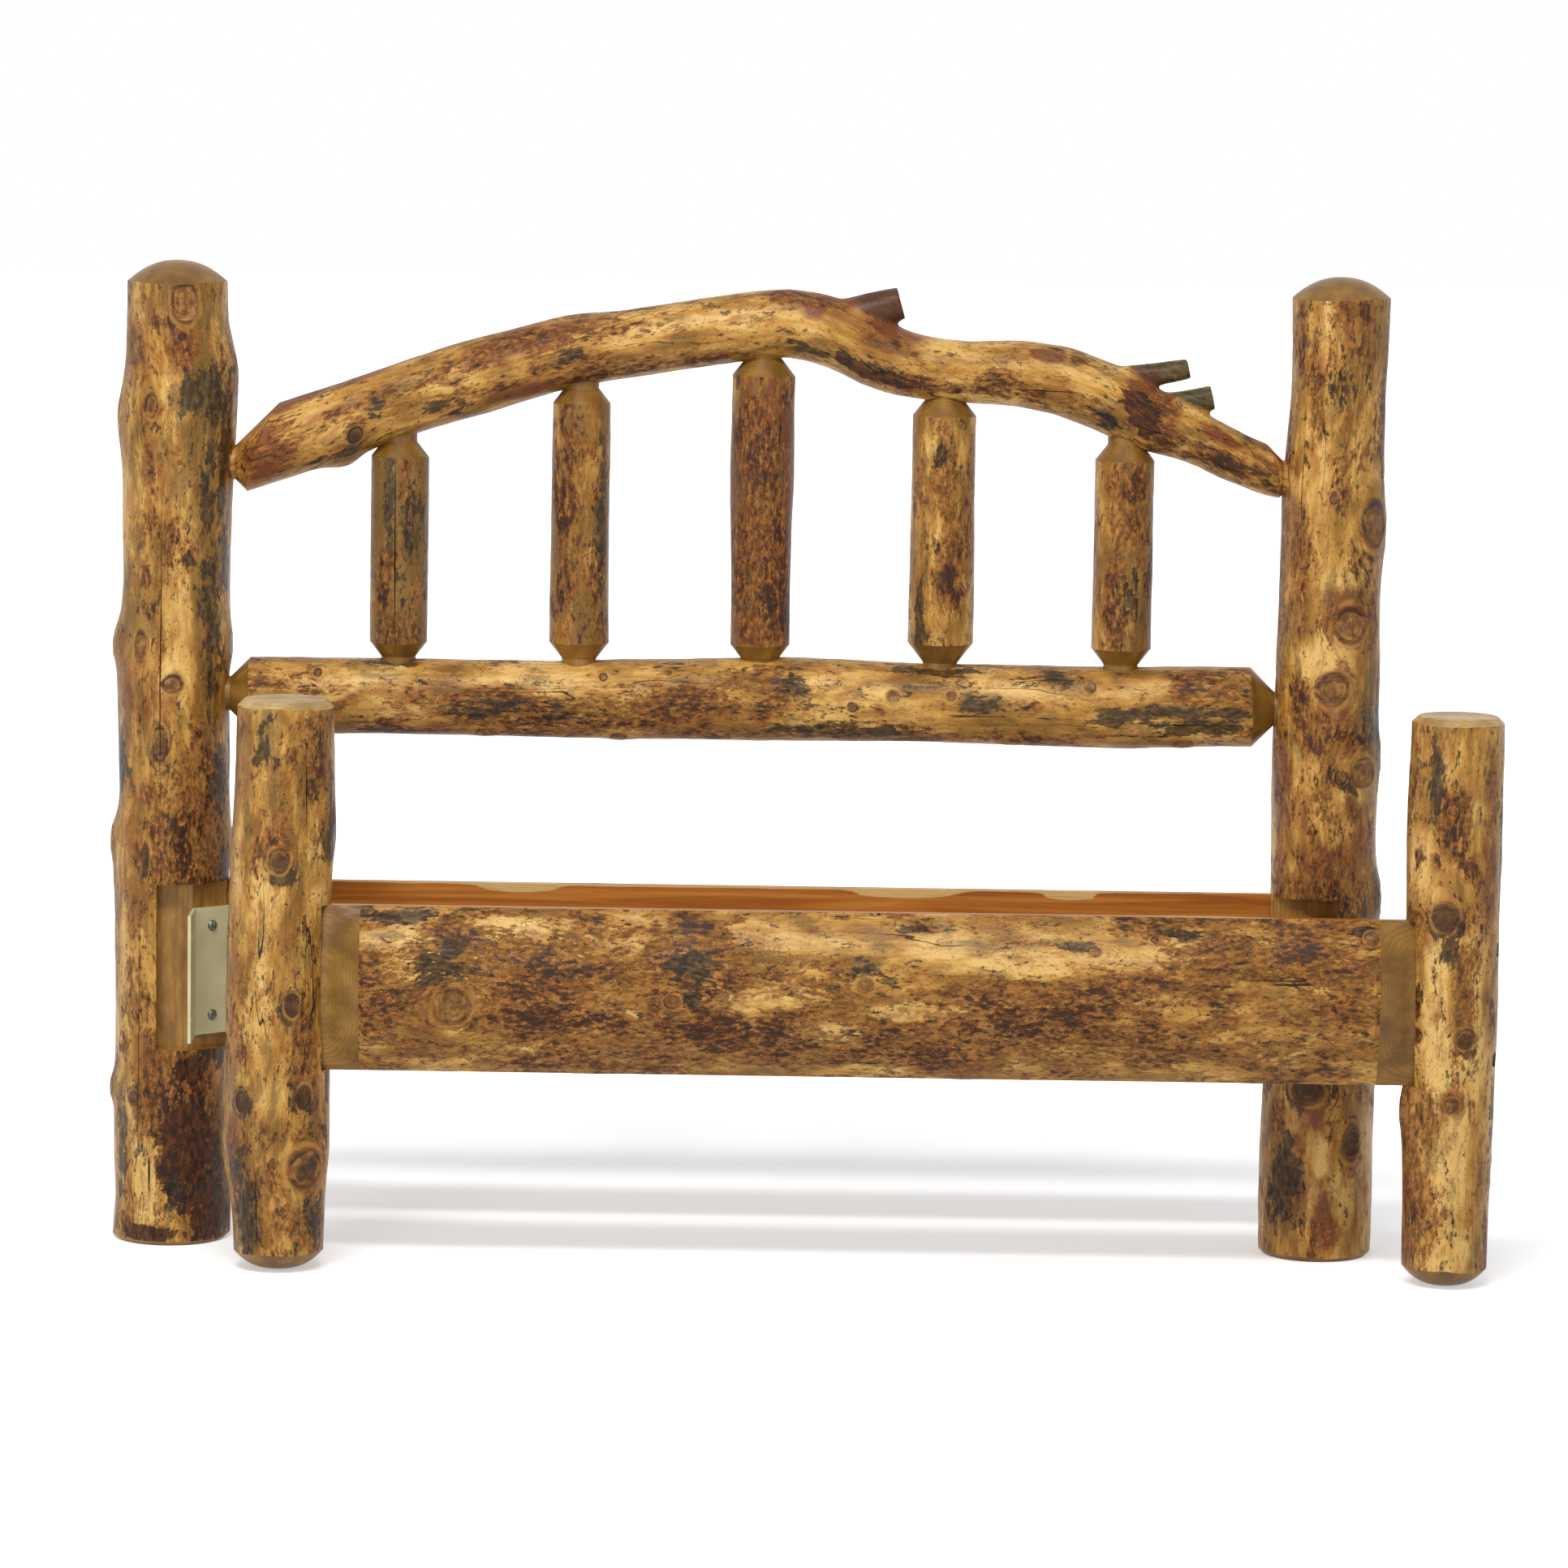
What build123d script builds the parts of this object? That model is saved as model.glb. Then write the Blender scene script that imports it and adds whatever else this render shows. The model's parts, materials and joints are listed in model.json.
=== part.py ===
from build123d import *
from dataclasses import dataclass
import math
import os

os.makedirs("parts", exist_ok=True)

# A queen-size log bed, taken down: the headboard stands behind and the footboard in front of it.
# Millimetres, +Z up, and the sleeper's feet towards -Y. The origin is on the floor, under the
# middle of the pair's bounding box.

# ---- Driving dimensions -----------------------------------------------------------------------

POST_SPACING = 1695.0  # axis to axis of the two posts of either frame
HEADBOARD_HEIGHT = 1445.0  # to the top of the post domes
FOOTBOARD_HEIGHT = 829.0
FRAME_GAP = 220.0  # headboard post axes to footboard post axes
SIDE_SHIFT = 173.0  # how far the footboard stands to the right of the headboard
REACH_LEFT = 94.0  # the left headboard post's widest reach beyond its axis
REACH_RIGHT = 69.0  # the right footboard post's widest reach beyond its axis
REACH_BACK = 86.0  # the headboard posts' reach behind their axes
REACH_FRONT = 76.0  # the footboard's reach in front of its post axes

TENON_RADIUS = 25.4  # every round tenon is two inches across
GLUE_GAP = 0.2  # all round a tenon in its mortise
MORTISE_END_GAP = 0.4  # at the blind end of a mortise
POST_TENON_LENGTH = 45.0  # depth of a rail's tenon in a post
RAIL_SHOULDER_GAP = 3.0  # tenon showing between a post and the rail's shoulder
RAIL_SHOULDER_DEG = 45.0  # slope of the shoulder that the tenon cutter leaves
SPINDLE_TENON_LENGTH = 42.0
SPINDLE_SHOULDER_GAP = 3.0
SPINDLE_SHOULDER_DEG = 38.0
CUTTER_REACH = 110.0  # the tenon cutter is larger than any log here

HEAD_DOME_RISE = 30.0
FOOT_DOME_RISE = 23.0
BASE_CHAMFER = 7.0
FOOT_TOP_CHAMFER = 9.0
KNOT_BALL = 52.0  # knots stand out of the posts as part of a ball of this radius

CREST_DROP = 294.0  # post top down to the axis of the crest rail's tenons
MID_RAIL_HEIGHT = 811.0  # floor to the mid rail's axis
MID_RAIL_RADIUS_LEFT = 55.0
MID_RAIL_RADIUS_RIGHT = 60.0

SPINDLE_PITCH = 265.0
SPINDLE_SHIFT = 12.0  # the middle spindle stands this far right of the middle

SLAB_HEIGHT = 240.0  # both half logs
SLAB_BOTTOM = 294.0  # floor to their lower edges
SLAB_THICKNESS = 68.0
SLAB_EDGE = 15.0  # flat sawn edge, top and bottom
SLAB_FLAT_OFFSET = 7.0  # plane of the post axes to the flat face
SLAB_TONGUE = 30.0  # thickness of the tongue that enters a post
SLAB_TONGUE_LENGTH = 26.0  # its depth in the post
SLAB_TAPER = 48.0  # length over which the bark side is trimmed down to the tongue

NOTCH_DEPTH = 27.0  # seat for a side rail's end, below the post's face
NOTCH_HEIGHT = 246.0
NOTCH_OUTWARD = 17.0  # the notch reaches this far outwards past the post's axis
RAIL_FACE = 34.0  # post axis to the side rail's inner face

BRACKET_THICKNESS = 4.5
BRACKET_HEIGHT = 188.0
BRACKET_BOTTOM = 311.0
BRACKET_FLANGE = 80.0  # depth of the flange that a side rail is screwed to
BRACKET_YAW = 40.0  # turn of the plate that lies on the post
HEAD_PLATE_WIDTH = 70.0
FOOT_PLATE_WIDTH = 46.0
HEAD_BOLT_INSET = 32.0  # bend to the bolts
FOOT_BOLT_INSET = 24.0
BOLT_SPACING = 133.0
BOLT_RADIUS = 4.0
BOLT_HEAD_RADIUS = 8.0
BOLT_HEAD_RISE = 5.0
HEAD_BOLT_LENGTH = 58.0
FOOT_BOLT_LENGTH = 42.0
SCREW_CLEARANCE = 0.1
RAIL_HOLE_RADIUS = 4.5
RAIL_HOLE_SPACING_Y = 36.0
RAIL_HOLE_SPACING_Z = 120.0
RAIL_HOLE_INSET = 46.0  # bend to the middle of the four rail holes

LAG_RADIUS = 4.0
LAG_HEAD_RADIUS = 9.0
LAG_HEAD_HEIGHT = 5.0
LAG_SINK = 12.0  # the head's seat below the post's outer side
LAG_SOCKET_RADIUS = 11.0
LAG_PAST_POST = 20.0  # how far a lag screw runs on into the rail past the post's inner side
SLAB_LAG_SPACING = 160.0

# ---- The logs' natural forms ------------------------------------------------------------------
# A post's stations: share of its side's height, radius, and drift of the heart outwards.

HEAD_LEFT_FORM = [
    (0.00, 86.0, 2.0),
    (0.09, 84.0, 1.0),
    (0.22, 83.0, 1.0),
    (0.38, 84.0, 2.0),
    (0.50, 79.5, 0.0),
    (0.59, 81.0, 0.0),
    (0.70, 77.5, -2.0),
    (0.80, 81.0, -5.0),
    (0.88, 84.5, -6.0),
    (0.95, 75.0, -4.0),
    (1.00, 72.0, -3.0),
]
HEAD_RIGHT_FORM = [
    (0.00, 83.0, 0.0),
    (0.10, 84.0, 0.0),
    (0.25, 82.0, 0.0),
    (0.41, 78.0, 0.0),
    (0.56, 77.0, 0.0),
    (0.72, 74.0, 0.0),
    (0.84, 72.0, 1.0),
    (0.95, 70.5, 4.0),
    (1.00, 71.5, 5.0),
]
FOOT_LEFT_FORM = [
    (0.00, 65.0, -1.0),
    (0.08, 67.5, 0.0),
    (0.20, 77.0, 1.5),
    (0.36, 75.0, 1.0),
    (0.54, 74.5, 1.0),
    (0.70, 72.5, -3.0),
    (0.86, 72.0, -7.0),
    (1.00, 69.0, -8.0),
]
FOOT_RIGHT_FORM = [
    (0.00, 60.5, -1.0),
    (0.12, 61.5, -1.0),
    (0.30, 63.5, 0.0),
    (0.45, 64.0, 0.0),
    (0.62, 66.0, 0.0),
    (0.80, 67.0, -1.0),
    (1.00, 65.5, -1.5),
]
# Knots that stand out of the posts: share of the side's height, bearing in degrees (0 is +X and
# 270 is the foot end), and how far the knot stands proud.
HEAD_LEFT_KNOTS = [(0.622, 182.0, 11.0), (0.420, 184.0, 7.0), (0.158, 186.0, 9.0)]
HEAD_RIGHT_KNOTS = [(0.757, 356.0, 5.0), (0.525, 357.0, 6.0), (0.377, 353.0, 11.0)]
FOOT_LEFT_KNOTS = [(0.180, 190.0, 5.0), (0.755, 350.0, 5.0)]
FOOT_RIGHT_KNOTS = [(0.312, 186.0, 8.0), (0.180, 352.0, 5.0)]

# Crest rail: distance from the headboard's middle, height of the heart above the tenons' axis,
# radius. The trunk climbs from the left to a fork, and a branch falls away from it to the right.
CREST_FORM = [
    (-850.0, -22.0, 54.0),
    (-716.0, 22.0, 54.0),
    (-563.0, 76.0, 52.5),
    (-390.0, 131.0, 52.5),
    (-230.0, 174.0, 49.5),
    (-76.0, 198.0, 48.0),
    (30.0, 214.0, 50.0),
    (112.0, 202.0, 50.0),
    (185.0, 166.0, 45.5),
    (290.0, 148.0, 43.5),
    (389.0, 146.0, 47.0),
    (490.0, 122.0, 50.0),
    (560.0, 88.0, 44.0),
    (635.0, 60.0, 38.5),
    (709.0, 24.0, 36.0),
    (770.0, 3.0, 36.0),
    (850.0, -4.0, 36.0),
]
# Sawn stubs of its other branches: base and tip as (distance, height), then their radii.
CREST_STUBS = [
    ((70.0, 195.0), (211.0, 246.0), 30.0, 25.0),
    ((530.0, 118.0), (631.0, 155.0), 17.0, 13.0),
    ((560.0, 92.0), (668.0, 116.0), 20.0, 15.0),
]
# Spindles from left to right: radius at the foot, the middle and the top.
SPINDLE_FORMS = [
    (39.5, 41.0, 40.0),
    (41.0, 39.5, 40.0),
    (42.0, 44.0, 44.5),
    (47.0, 44.0, 45.0),
    (42.5, 40.5, 42.0),
]

# ---- Places worked out from the sizes ---------------------------------------------------------

headboard_x = -(SIDE_SHIFT + REACH_RIGHT - REACH_LEFT) / 2
footboard_x = headboard_x + SIDE_SHIFT
headboard_y = (FRAME_GAP + REACH_FRONT - REACH_BACK) / 2
footboard_y = headboard_y - FRAME_GAP
crest_axis_z = HEADBOARD_HEIGHT - CREST_DROP
slab_middle = SLAB_BOTTOM + SLAB_HEIGHT / 2
bracket_middle = BRACKET_BOTTOM + BRACKET_HEIGHT / 2
yaw_cos = math.cos(math.radians(BRACKET_YAW))
yaw_sin = math.sin(math.radians(BRACKET_YAW))


def between(stations, place):
    """Values of a log's form at a place along it, straight between its stations."""
    low, high = stations[0], stations[-1]
    for first, second in zip(stations, stations[1:]):
        if first[0] <= place <= second[0]:
            low, high = first, second
    share = min(max((place - low[0]) / (high[0] - low[0]), 0.0), 1.0)
    return [a + share * (b - a) for a, b in zip(low[1:], high[1:])]


@dataclass
class Post:
    """A post: its axis, which way the bed's middle and its side rails lie, and how it grew."""

    x: float
    y: float
    inward: int
    rails: int
    foot: float
    top: float
    form: list
    knots: list
    plate_width: float
    bolt_inset: float
    bolt_length: float

    def height(self, share):
        return self.foot + share * (self.top - self.foot)

    def girth(self, z):
        """Radius and outward drift at a height."""
        return between(self.form, (z - self.foot) / (self.top - self.foot))

    def heart(self, z):
        return self.x - self.inward * self.girth(z)[1]

    def inner_side(self, z):
        return self.heart(z) + self.inward * self.girth(z)[0]

    def outer_side(self, z):
        return self.heart(z) - self.inward * self.girth(z)[0]

    def seat(self):
        """Distance from the axis to the face that the side rail's end meets."""
        return self.girth(slab_middle)[0] - NOTCH_DEPTH

    def plan(self, points):
        """Points given inwards and towards the side rails, put where they lie on this post."""
        return [(self.x + self.inward * a, self.y + self.rails * b) for a, b in points]


headboard_left = Post(
    x=headboard_x - POST_SPACING / 2,
    y=headboard_y,
    inward=1,
    rails=-1,
    foot=0.0,
    top=HEADBOARD_HEIGHT - HEAD_DOME_RISE,
    form=HEAD_LEFT_FORM,
    knots=HEAD_LEFT_KNOTS,
    plate_width=HEAD_PLATE_WIDTH,
    bolt_inset=HEAD_BOLT_INSET,
    bolt_length=HEAD_BOLT_LENGTH,
)
headboard_right = Post(
    x=headboard_x + POST_SPACING / 2,
    y=headboard_y,
    inward=-1,
    rails=-1,
    foot=0.0,
    top=HEADBOARD_HEIGHT - HEAD_DOME_RISE,
    form=HEAD_RIGHT_FORM,
    knots=HEAD_RIGHT_KNOTS,
    plate_width=HEAD_PLATE_WIDTH,
    bolt_inset=HEAD_BOLT_INSET,
    bolt_length=HEAD_BOLT_LENGTH,
)
footboard_left = Post(
    x=footboard_x - POST_SPACING / 2,
    y=footboard_y,
    inward=1,
    rails=1,
    foot=FOOT_DOME_RISE,
    top=FOOTBOARD_HEIGHT,
    form=FOOT_LEFT_FORM,
    knots=FOOT_LEFT_KNOTS,
    plate_width=FOOT_PLATE_WIDTH,
    bolt_inset=FOOT_BOLT_INSET,
    bolt_length=FOOT_BOLT_LENGTH,
)
footboard_right = Post(
    x=footboard_x + POST_SPACING / 2,
    y=footboard_y,
    inward=-1,
    rails=1,
    foot=FOOT_DOME_RISE,
    top=FOOTBOARD_HEIGHT,
    form=FOOT_RIGHT_FORM,
    knots=FOOT_RIGHT_KNOTS,
    plate_width=FOOT_PLATE_WIDTH,
    bolt_inset=FOOT_BOLT_INSET,
    bolt_length=FOOT_BOLT_LENGTH,
)
headboard_posts = [headboard_left, headboard_right]
footboard_posts = [footboard_left, footboard_right]

# ---- Shared shapes ----------------------------------------------------------------------------


def log_side(post):
    """A post's side, lofted through the circles of its form."""
    with BuildPart() as side:
        for share, radius, drift in post.form:
            with BuildSketch(Plane((post.x - post.inward * drift, post.y, post.height(share)))):
                Circle(radius)
        loft()
    return side.part


def dome(radius, rise):
    """A spherical cap that stands on the XY plane."""
    ball = (radius**2 + rise**2) / (2 * rise)
    half = math.asin(radius / ball) / 2
    with BuildPart() as cap:
        with BuildSketch(Plane.XZ):
            with BuildLine():
                middle = (ball * math.sin(half), rise - ball * (1 - math.cos(half)))
                ThreePointArc((radius, 0), middle, (0, rise))
                Polyline((0, rise), (0, 0), (radius, 0))
            make_face()
        revolve(axis=Axis.Z)
    return cap.part


def tenon_waste(length, slope_deg):
    """What a tenon cutter takes off an end. Z = 0 is where the shoulder's cone meets the tenon."""
    run = (CUTTER_REACH - TENON_RADIUS) / math.tan(math.radians(slope_deg))
    beyond = length + CUTTER_REACH
    with BuildPart() as waste:
        with BuildSketch(Plane.XZ):
            with BuildLine():
                Polyline(
                    (TENON_RADIUS, 0),
                    (CUTTER_REACH, -run),
                    (CUTTER_REACH, beyond),
                    (0, beyond),
                    (0, length),
                    (TENON_RADIUS, length),
                    close=True,
                )
            make_face()
        revolve(axis=Axis.Z)
    return waste.part


def half_log(plane):
    """Section of a half log: flat face on the plane's Y axis, bark side towards its X axis."""
    with BuildSketch(plane) as section:
        with BuildLine():
            Polyline((SLAB_EDGE, 0), (0, 0), (0, SLAB_HEIGHT), (SLAB_EDGE, SLAB_HEIGHT))
            ThreePointArc(
                (SLAB_EDGE, SLAB_HEIGHT), (SLAB_THICKNESS, SLAB_HEIGHT / 2), (SLAB_EDGE, 0)
            )
        make_face()
    return section.sketch


def tongue(plane, gap=0.0):
    """Section of a half log's tongue, or with a gap of the slot that takes it."""
    with BuildSketch(plane) as section:
        with BuildLine():
            Polyline(
                (SLAB_TONGUE + gap, -gap),
                (-gap, -gap),
                (-gap, SLAB_HEIGHT + gap),
                (SLAB_TONGUE + gap, SLAB_HEIGHT + gap),
                close=True,
            )
        make_face()
    return section.sketch


def slab_plane(x, frame_y, bulge):
    """Where a half log's section stands: bulge is the way its bark side faces along Y."""
    flat_y = frame_y + bulge * SLAB_FLAT_OFFSET
    return Plane((x, flat_y, SLAB_BOTTOM), x_dir=(0, bulge, 0), z_dir=(bulge, 0, 0))


def tongue_end(post):
    """X of the end of a half log's tongue in a post."""
    return post.inner_side(slab_middle) - post.inward * SLAB_TONGUE_LENGTH


def bolt_plane(post, z):
    """Where a bracket bolt passes the post's slanting face. Its Z axis points out of the post."""
    inset = post.bolt_inset
    spot = (RAIL_FACE + inset * yaw_cos, post.seat() - inset * yaw_sin)
    x, y = post.plan([spot])[0]
    return Plane((x, y, z), z_dir=(post.inward * yaw_sin, post.rails * yaw_cos, 0))


def bolt_heights():
    return [bracket_middle - BOLT_SPACING / 2, bracket_middle + BOLT_SPACING / 2]


def slab_lag_heights():
    return [slab_middle - SLAB_LAG_SPACING / 2, slab_middle + SLAB_LAG_SPACING / 2]


def lag_plane(post, y, z):
    """A lag screw's seat inside the post. Its Z axis points into the post, at the rail."""
    seat_x = post.outer_side(z) + post.inward * LAG_SINK
    return Plane((seat_x, y, z), z_dir=(post.inward, 0, 0))


def lag_length(post, z):
    return abs(post.inner_side(z) - post.outer_side(z)) - LAG_SINK + LAG_PAST_POST


def slab_lag_y(post):
    """Y of the middle of a half log's tongue: its bark side faces away from the side rails' end
    on the footboard and the headboard alike."""
    return post.y - post.rails * (SLAB_FLAT_OFFSET + SLAB_TONGUE / 2)


def lag_places(posts, round_tenon_heights):
    """Every lag screw of a frame: its post, Y and height."""
    places = []
    for post in posts:
        places += [(post, post.y, z) for z in round_tenon_heights]
        places += [(post, slab_lag_y(post), z) for z in slab_lag_heights()]
    return places


headboard_lags = lag_places(headboard_posts, [crest_axis_z, MID_RAIL_HEIGHT])
footboard_lags = lag_places(footboard_posts, [])

# ---- Posts ------------------------------------------------------------------------------------


def notch_plan(post):
    """Plan of the wood cut away for a side rail's end and for the bracket beside it."""
    seat = post.seat()
    beyond = post.girth(slab_middle)[0] + NOTCH_DEPTH
    return post.plan(
        [
            (-NOTCH_OUTWARD, seat),
            (RAIL_FACE, seat),
            (RAIL_FACE + beyond * yaw_cos, seat - beyond * yaw_sin),
            (RAIL_FACE + beyond * yaw_cos, beyond),
            (-NOTCH_OUTWARD, beyond),
        ]
    )


def cut_post(post, lags, round_tenon_heights):
    """Cuts the notch, the mortises and the screw holes in the post that is being built."""
    with BuildSketch(Plane.XY.offset(slab_middle - NOTCH_HEIGHT / 2)) as notch:
        with BuildLine():
            Polyline(notch_plan(post), close=True)
        make_face()
    extrude(notch.sketch, amount=NOTCH_HEIGHT, mode=Mode.SUBTRACT)
    for z in round_tenon_heights:
        end = post.inner_side(z) - post.inward * (POST_TENON_LENGTH + MORTISE_END_GAP)
        with BuildSketch(Plane((end, post.y, z), z_dir=(post.inward, 0, 0))) as mortise:
            Circle(TENON_RADIUS + GLUE_GAP)
        extrude(mortise.sketch, amount=2 * POST_TENON_LENGTH, mode=Mode.SUBTRACT)
    slot_x = tongue_end(post) - post.inward * MORTISE_END_GAP
    slot = tongue(slab_plane(slot_x, post.y, -post.rails), GLUE_GAP)
    slot_depth = post.inward * -post.rails * 2 * SLAB_TONGUE_LENGTH
    extrude(slot, amount=slot_depth, mode=Mode.SUBTRACT)
    for z in bolt_heights():
        with BuildSketch(bolt_plane(post, z)) as hole:
            Circle(BOLT_RADIUS + SCREW_CLEARANCE)
        extrude(hole.sketch, amount=-(post.bolt_length + SCREW_CLEARANCE), mode=Mode.SUBTRACT)
    for y, z in [(y, z) for lag_post, y, z in lags if lag_post is post]:
        with BuildSketch(lag_plane(post, y, z)) as hole:
            Circle(LAG_RADIUS + SCREW_CLEARANCE)
        extrude(hole.sketch, amount=lag_length(post, z), mode=Mode.SUBTRACT)
        with BuildSketch(lag_plane(post, y, z)) as socket:
            Circle(LAG_SOCKET_RADIUS)
        extrude(socket.sketch, amount=-4 * LAG_SINK, mode=Mode.SUBTRACT)


def add_knots(post):
    """Adds the post's knots to the post that is being built."""
    for share, bearing, proud in post.knots:
        z = post.height(share)
        out = post.girth(z)[0] + proud - KNOT_BALL
        turn = math.radians(bearing)
        with Locations((post.heart(z) + out * math.cos(turn), post.y + out * math.sin(turn), z)):
            Sphere(KNOT_BALL)


for post, name in zip(headboard_posts, ["headboard_left_post", "headboard_right_post"]):
    with BuildPart() as head_post:
        add(log_side(post))
        chamfer(head_post.faces().sort_by(Axis.Z)[0].edges(), BASE_CHAMFER)
        top_radius, top_drift = post.girth(post.top)
        with Locations((post.heart(post.top), post.y, post.top)):
            add(dome(top_radius, HEAD_DOME_RISE))
        add_knots(post)
        cut_post(post, headboard_lags, [crest_axis_z, MID_RAIL_HEIGHT])
    head_post.part.label = name
    export_step(head_post.part, f"parts/{name}.step")

for post, name in zip(footboard_posts, ["footboard_left_post", "footboard_right_post"]):
    with BuildPart() as foot_post:
        add(log_side(post))
        chamfer(foot_post.faces().sort_by(Axis.Z)[-1].edges(), FOOT_TOP_CHAMFER)
        foot_radius, foot_drift = post.girth(post.foot)
        with Locations(Plane((post.heart(post.foot), post.y, post.foot), z_dir=(0, 0, -1))):
            add(dome(foot_radius, FOOT_DOME_RISE))
        add_knots(post)
        cut_post(post, footboard_lags, [])
    foot_post.part.label = name
    export_step(foot_post.part, f"parts/{name}.step")

# ---- Headboard rails --------------------------------------------------------------------------


def shoulder_plane(post, z):
    """Where a rail's shoulder meets its tenon. Its Z axis points into the post."""
    x = post.inner_side(z) + post.inward * RAIL_SHOULDER_GAP
    return Plane((x, post.y, z), z_dir=(-post.inward, 0, 0))


def finish_rail_ends(z):
    """Turns tenons on both ends of the rail that is being built, and bores them for lags."""
    for post in headboard_posts:
        with Locations(shoulder_plane(post, z)):
            add(
                tenon_waste(POST_TENON_LENGTH + RAIL_SHOULDER_GAP, RAIL_SHOULDER_DEG),
                mode=Mode.SUBTRACT,
            )
        with BuildSketch(lag_plane(post, post.y, z)) as bore:
            Circle(LAG_RADIUS + SCREW_CLEARANCE)
        extrude(bore.sketch, amount=lag_length(post, z) + SCREW_CLEARANCE, mode=Mode.SUBTRACT)


def crest_heart(x):
    """Height of the crest rail's heart at a distance from the headboard's middle."""
    return crest_axis_z + between(CREST_FORM, x)[0]


def crest_underside(x):
    """Height of the crest rail's lowest wood at a distance from the headboard's middle."""
    slope = (crest_heart(x + TENON_RADIUS) - crest_heart(x - TENON_RADIUS)) / (2 * TENON_RADIUS)
    return crest_heart(x) - between(CREST_FORM, x)[1] * math.hypot(1, slope)


def spindle_top(x):
    """Where a spindle's upper shoulder ends: just under the crest rail all round the tenon."""
    sides = [crest_underside(x - TENON_RADIUS), crest_underside(x + TENON_RADIUS)]
    return min(sides) - SPINDLE_SHOULDER_GAP


def mid_rail_radius(x):
    """The mid rail's radius at a distance from the headboard's middle."""
    share = x / POST_SPACING + 0.5
    return MID_RAIL_RADIUS_LEFT + share * (MID_RAIL_RADIUS_RIGHT - MID_RAIL_RADIUS_LEFT)


spindle_xs = [SPINDLE_SHIFT + SPINDLE_PITCH * (i - 2) for i in range(len(SPINDLE_FORMS))]
spindle_feet = [MID_RAIL_HEIGHT + mid_rail_radius(x) + SPINDLE_SHOULDER_GAP for x in spindle_xs]
spindle_tops = [spindle_top(x) for x in spindle_xs]
spindle_hole_depth = SPINDLE_TENON_LENGTH + MORTISE_END_GAP

with BuildPart() as crest_rail:
    stations = CREST_FORM
    for index, (x, rise, radius) in enumerate(stations):
        before = stations[max(index - 1, 0)]
        after = stations[min(index + 1, len(stations) - 1)]
        along = Vector(after[0] - before[0], 0, after[1] - before[1])
        heart = (headboard_x + x, headboard_y, crest_axis_z + rise)
        with BuildSketch(Plane(heart, x_dir=(0, 1, 0), z_dir=along)):
            Circle(radius)
    loft()
    for base, tip, base_radius, tip_radius in CREST_STUBS:
        along = Vector(tip[0] - base[0], 0, tip[1] - base[1])
        ends = []
        for (x, rise), radius in ((base, base_radius), (tip, tip_radius)):
            heart = (headboard_x + x, headboard_y, crest_axis_z + rise)
            with BuildSketch(Plane(heart, x_dir=(0, 1, 0), z_dir=along), mode=Mode.PRIVATE) as end:
                Circle(radius)
            ends.append(end.sketch)
        loft(ends)
    finish_rail_ends(crest_axis_z)
    for x, top in zip(spindle_xs, spindle_tops):
        bore_top = top + spindle_hole_depth
        with Locations(Plane((headboard_x + x, headboard_y, bore_top), z_dir=(0, 0, -1))):
            Cylinder(
                TENON_RADIUS + GLUE_GAP,
                3 * SPINDLE_TENON_LENGTH,
                align=(Align.CENTER, Align.CENTER, Align.MIN),
                mode=Mode.SUBTRACT,
            )
crest_rail.part.label = "crest_rail"
export_step(crest_rail.part, "parts/crest_rail.step")

with BuildPart() as mid_rail:
    for side in (-1, 1):
        end_x = side * POST_SPACING / 2
        end_heart = (headboard_x + end_x, headboard_y, MID_RAIL_HEIGHT)
        with BuildSketch(Plane(end_heart, z_dir=(1, 0, 0))):
            Circle(mid_rail_radius(end_x))
    loft()
    finish_rail_ends(MID_RAIL_HEIGHT)
    for x, foot in zip(spindle_xs, spindle_feet):
        with Locations((headboard_x + x, headboard_y, foot - spindle_hole_depth)):
            Cylinder(
                TENON_RADIUS + GLUE_GAP,
                3 * SPINDLE_TENON_LENGTH,
                align=(Align.CENTER, Align.CENTER, Align.MIN),
                mode=Mode.SUBTRACT,
            )
mid_rail.part.label = "mid_rail"
export_step(mid_rail.part, "parts/mid_rail.step")

# ---- Spindles ---------------------------------------------------------------------------------

for index, (x, foot, top) in enumerate(zip(spindle_xs, spindle_feet, spindle_tops)):
    low = foot - SPINDLE_TENON_LENGTH
    high = top + SPINDLE_TENON_LENGTH
    with BuildPart() as spindle:
        for z, radius in zip((low, (low + high) / 2, high), SPINDLE_FORMS[index]):
            with BuildSketch(Plane((headboard_x + x, headboard_y, z))):
                Circle(radius)
        loft()
        for z, up in ((foot, -1), (top, 1)):
            with Locations(Plane((headboard_x + x, headboard_y, z), z_dir=(0, 0, up))):
                add(
                    tenon_waste(SPINDLE_TENON_LENGTH, SPINDLE_SHOULDER_DEG),
                    mode=Mode.SUBTRACT,
                )
    spindle.part.label = f"spindle_{index + 1}"
    export_step(spindle.part, f"parts/spindle_{index + 1}.step")

# ---- Half logs --------------------------------------------------------------------------------


def build_half_log(posts, lags):
    """Builds a half log between two posts, with a trimmed end and a tongue at each of them."""
    left, right = posts
    bulge = -left.rails
    taper_xs = []
    for post in posts:
        mouth = post.inner_side(slab_middle)
        taper_x = mouth + post.inward * SLAB_TAPER
        tongue_face = tongue(slab_plane(mouth, post.y, bulge))
        loft([half_log(slab_plane(taper_x, post.y, bulge)), tongue_face])
        extrude(tongue_face, amount=-post.inward * bulge * SLAB_TONGUE_LENGTH)
        taper_xs.append(taper_x)
    body_length = bulge * (taper_xs[1] - taper_xs[0])
    extrude(half_log(slab_plane(taper_xs[0], left.y, bulge)), amount=body_length)
    for post, y, z in lags:
        with BuildSketch(lag_plane(post, y, z)) as bore:
            Circle(LAG_RADIUS + SCREW_CLEARANCE)
        extrude(bore.sketch, amount=lag_length(post, z) + SCREW_CLEARANCE, mode=Mode.SUBTRACT)


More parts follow.
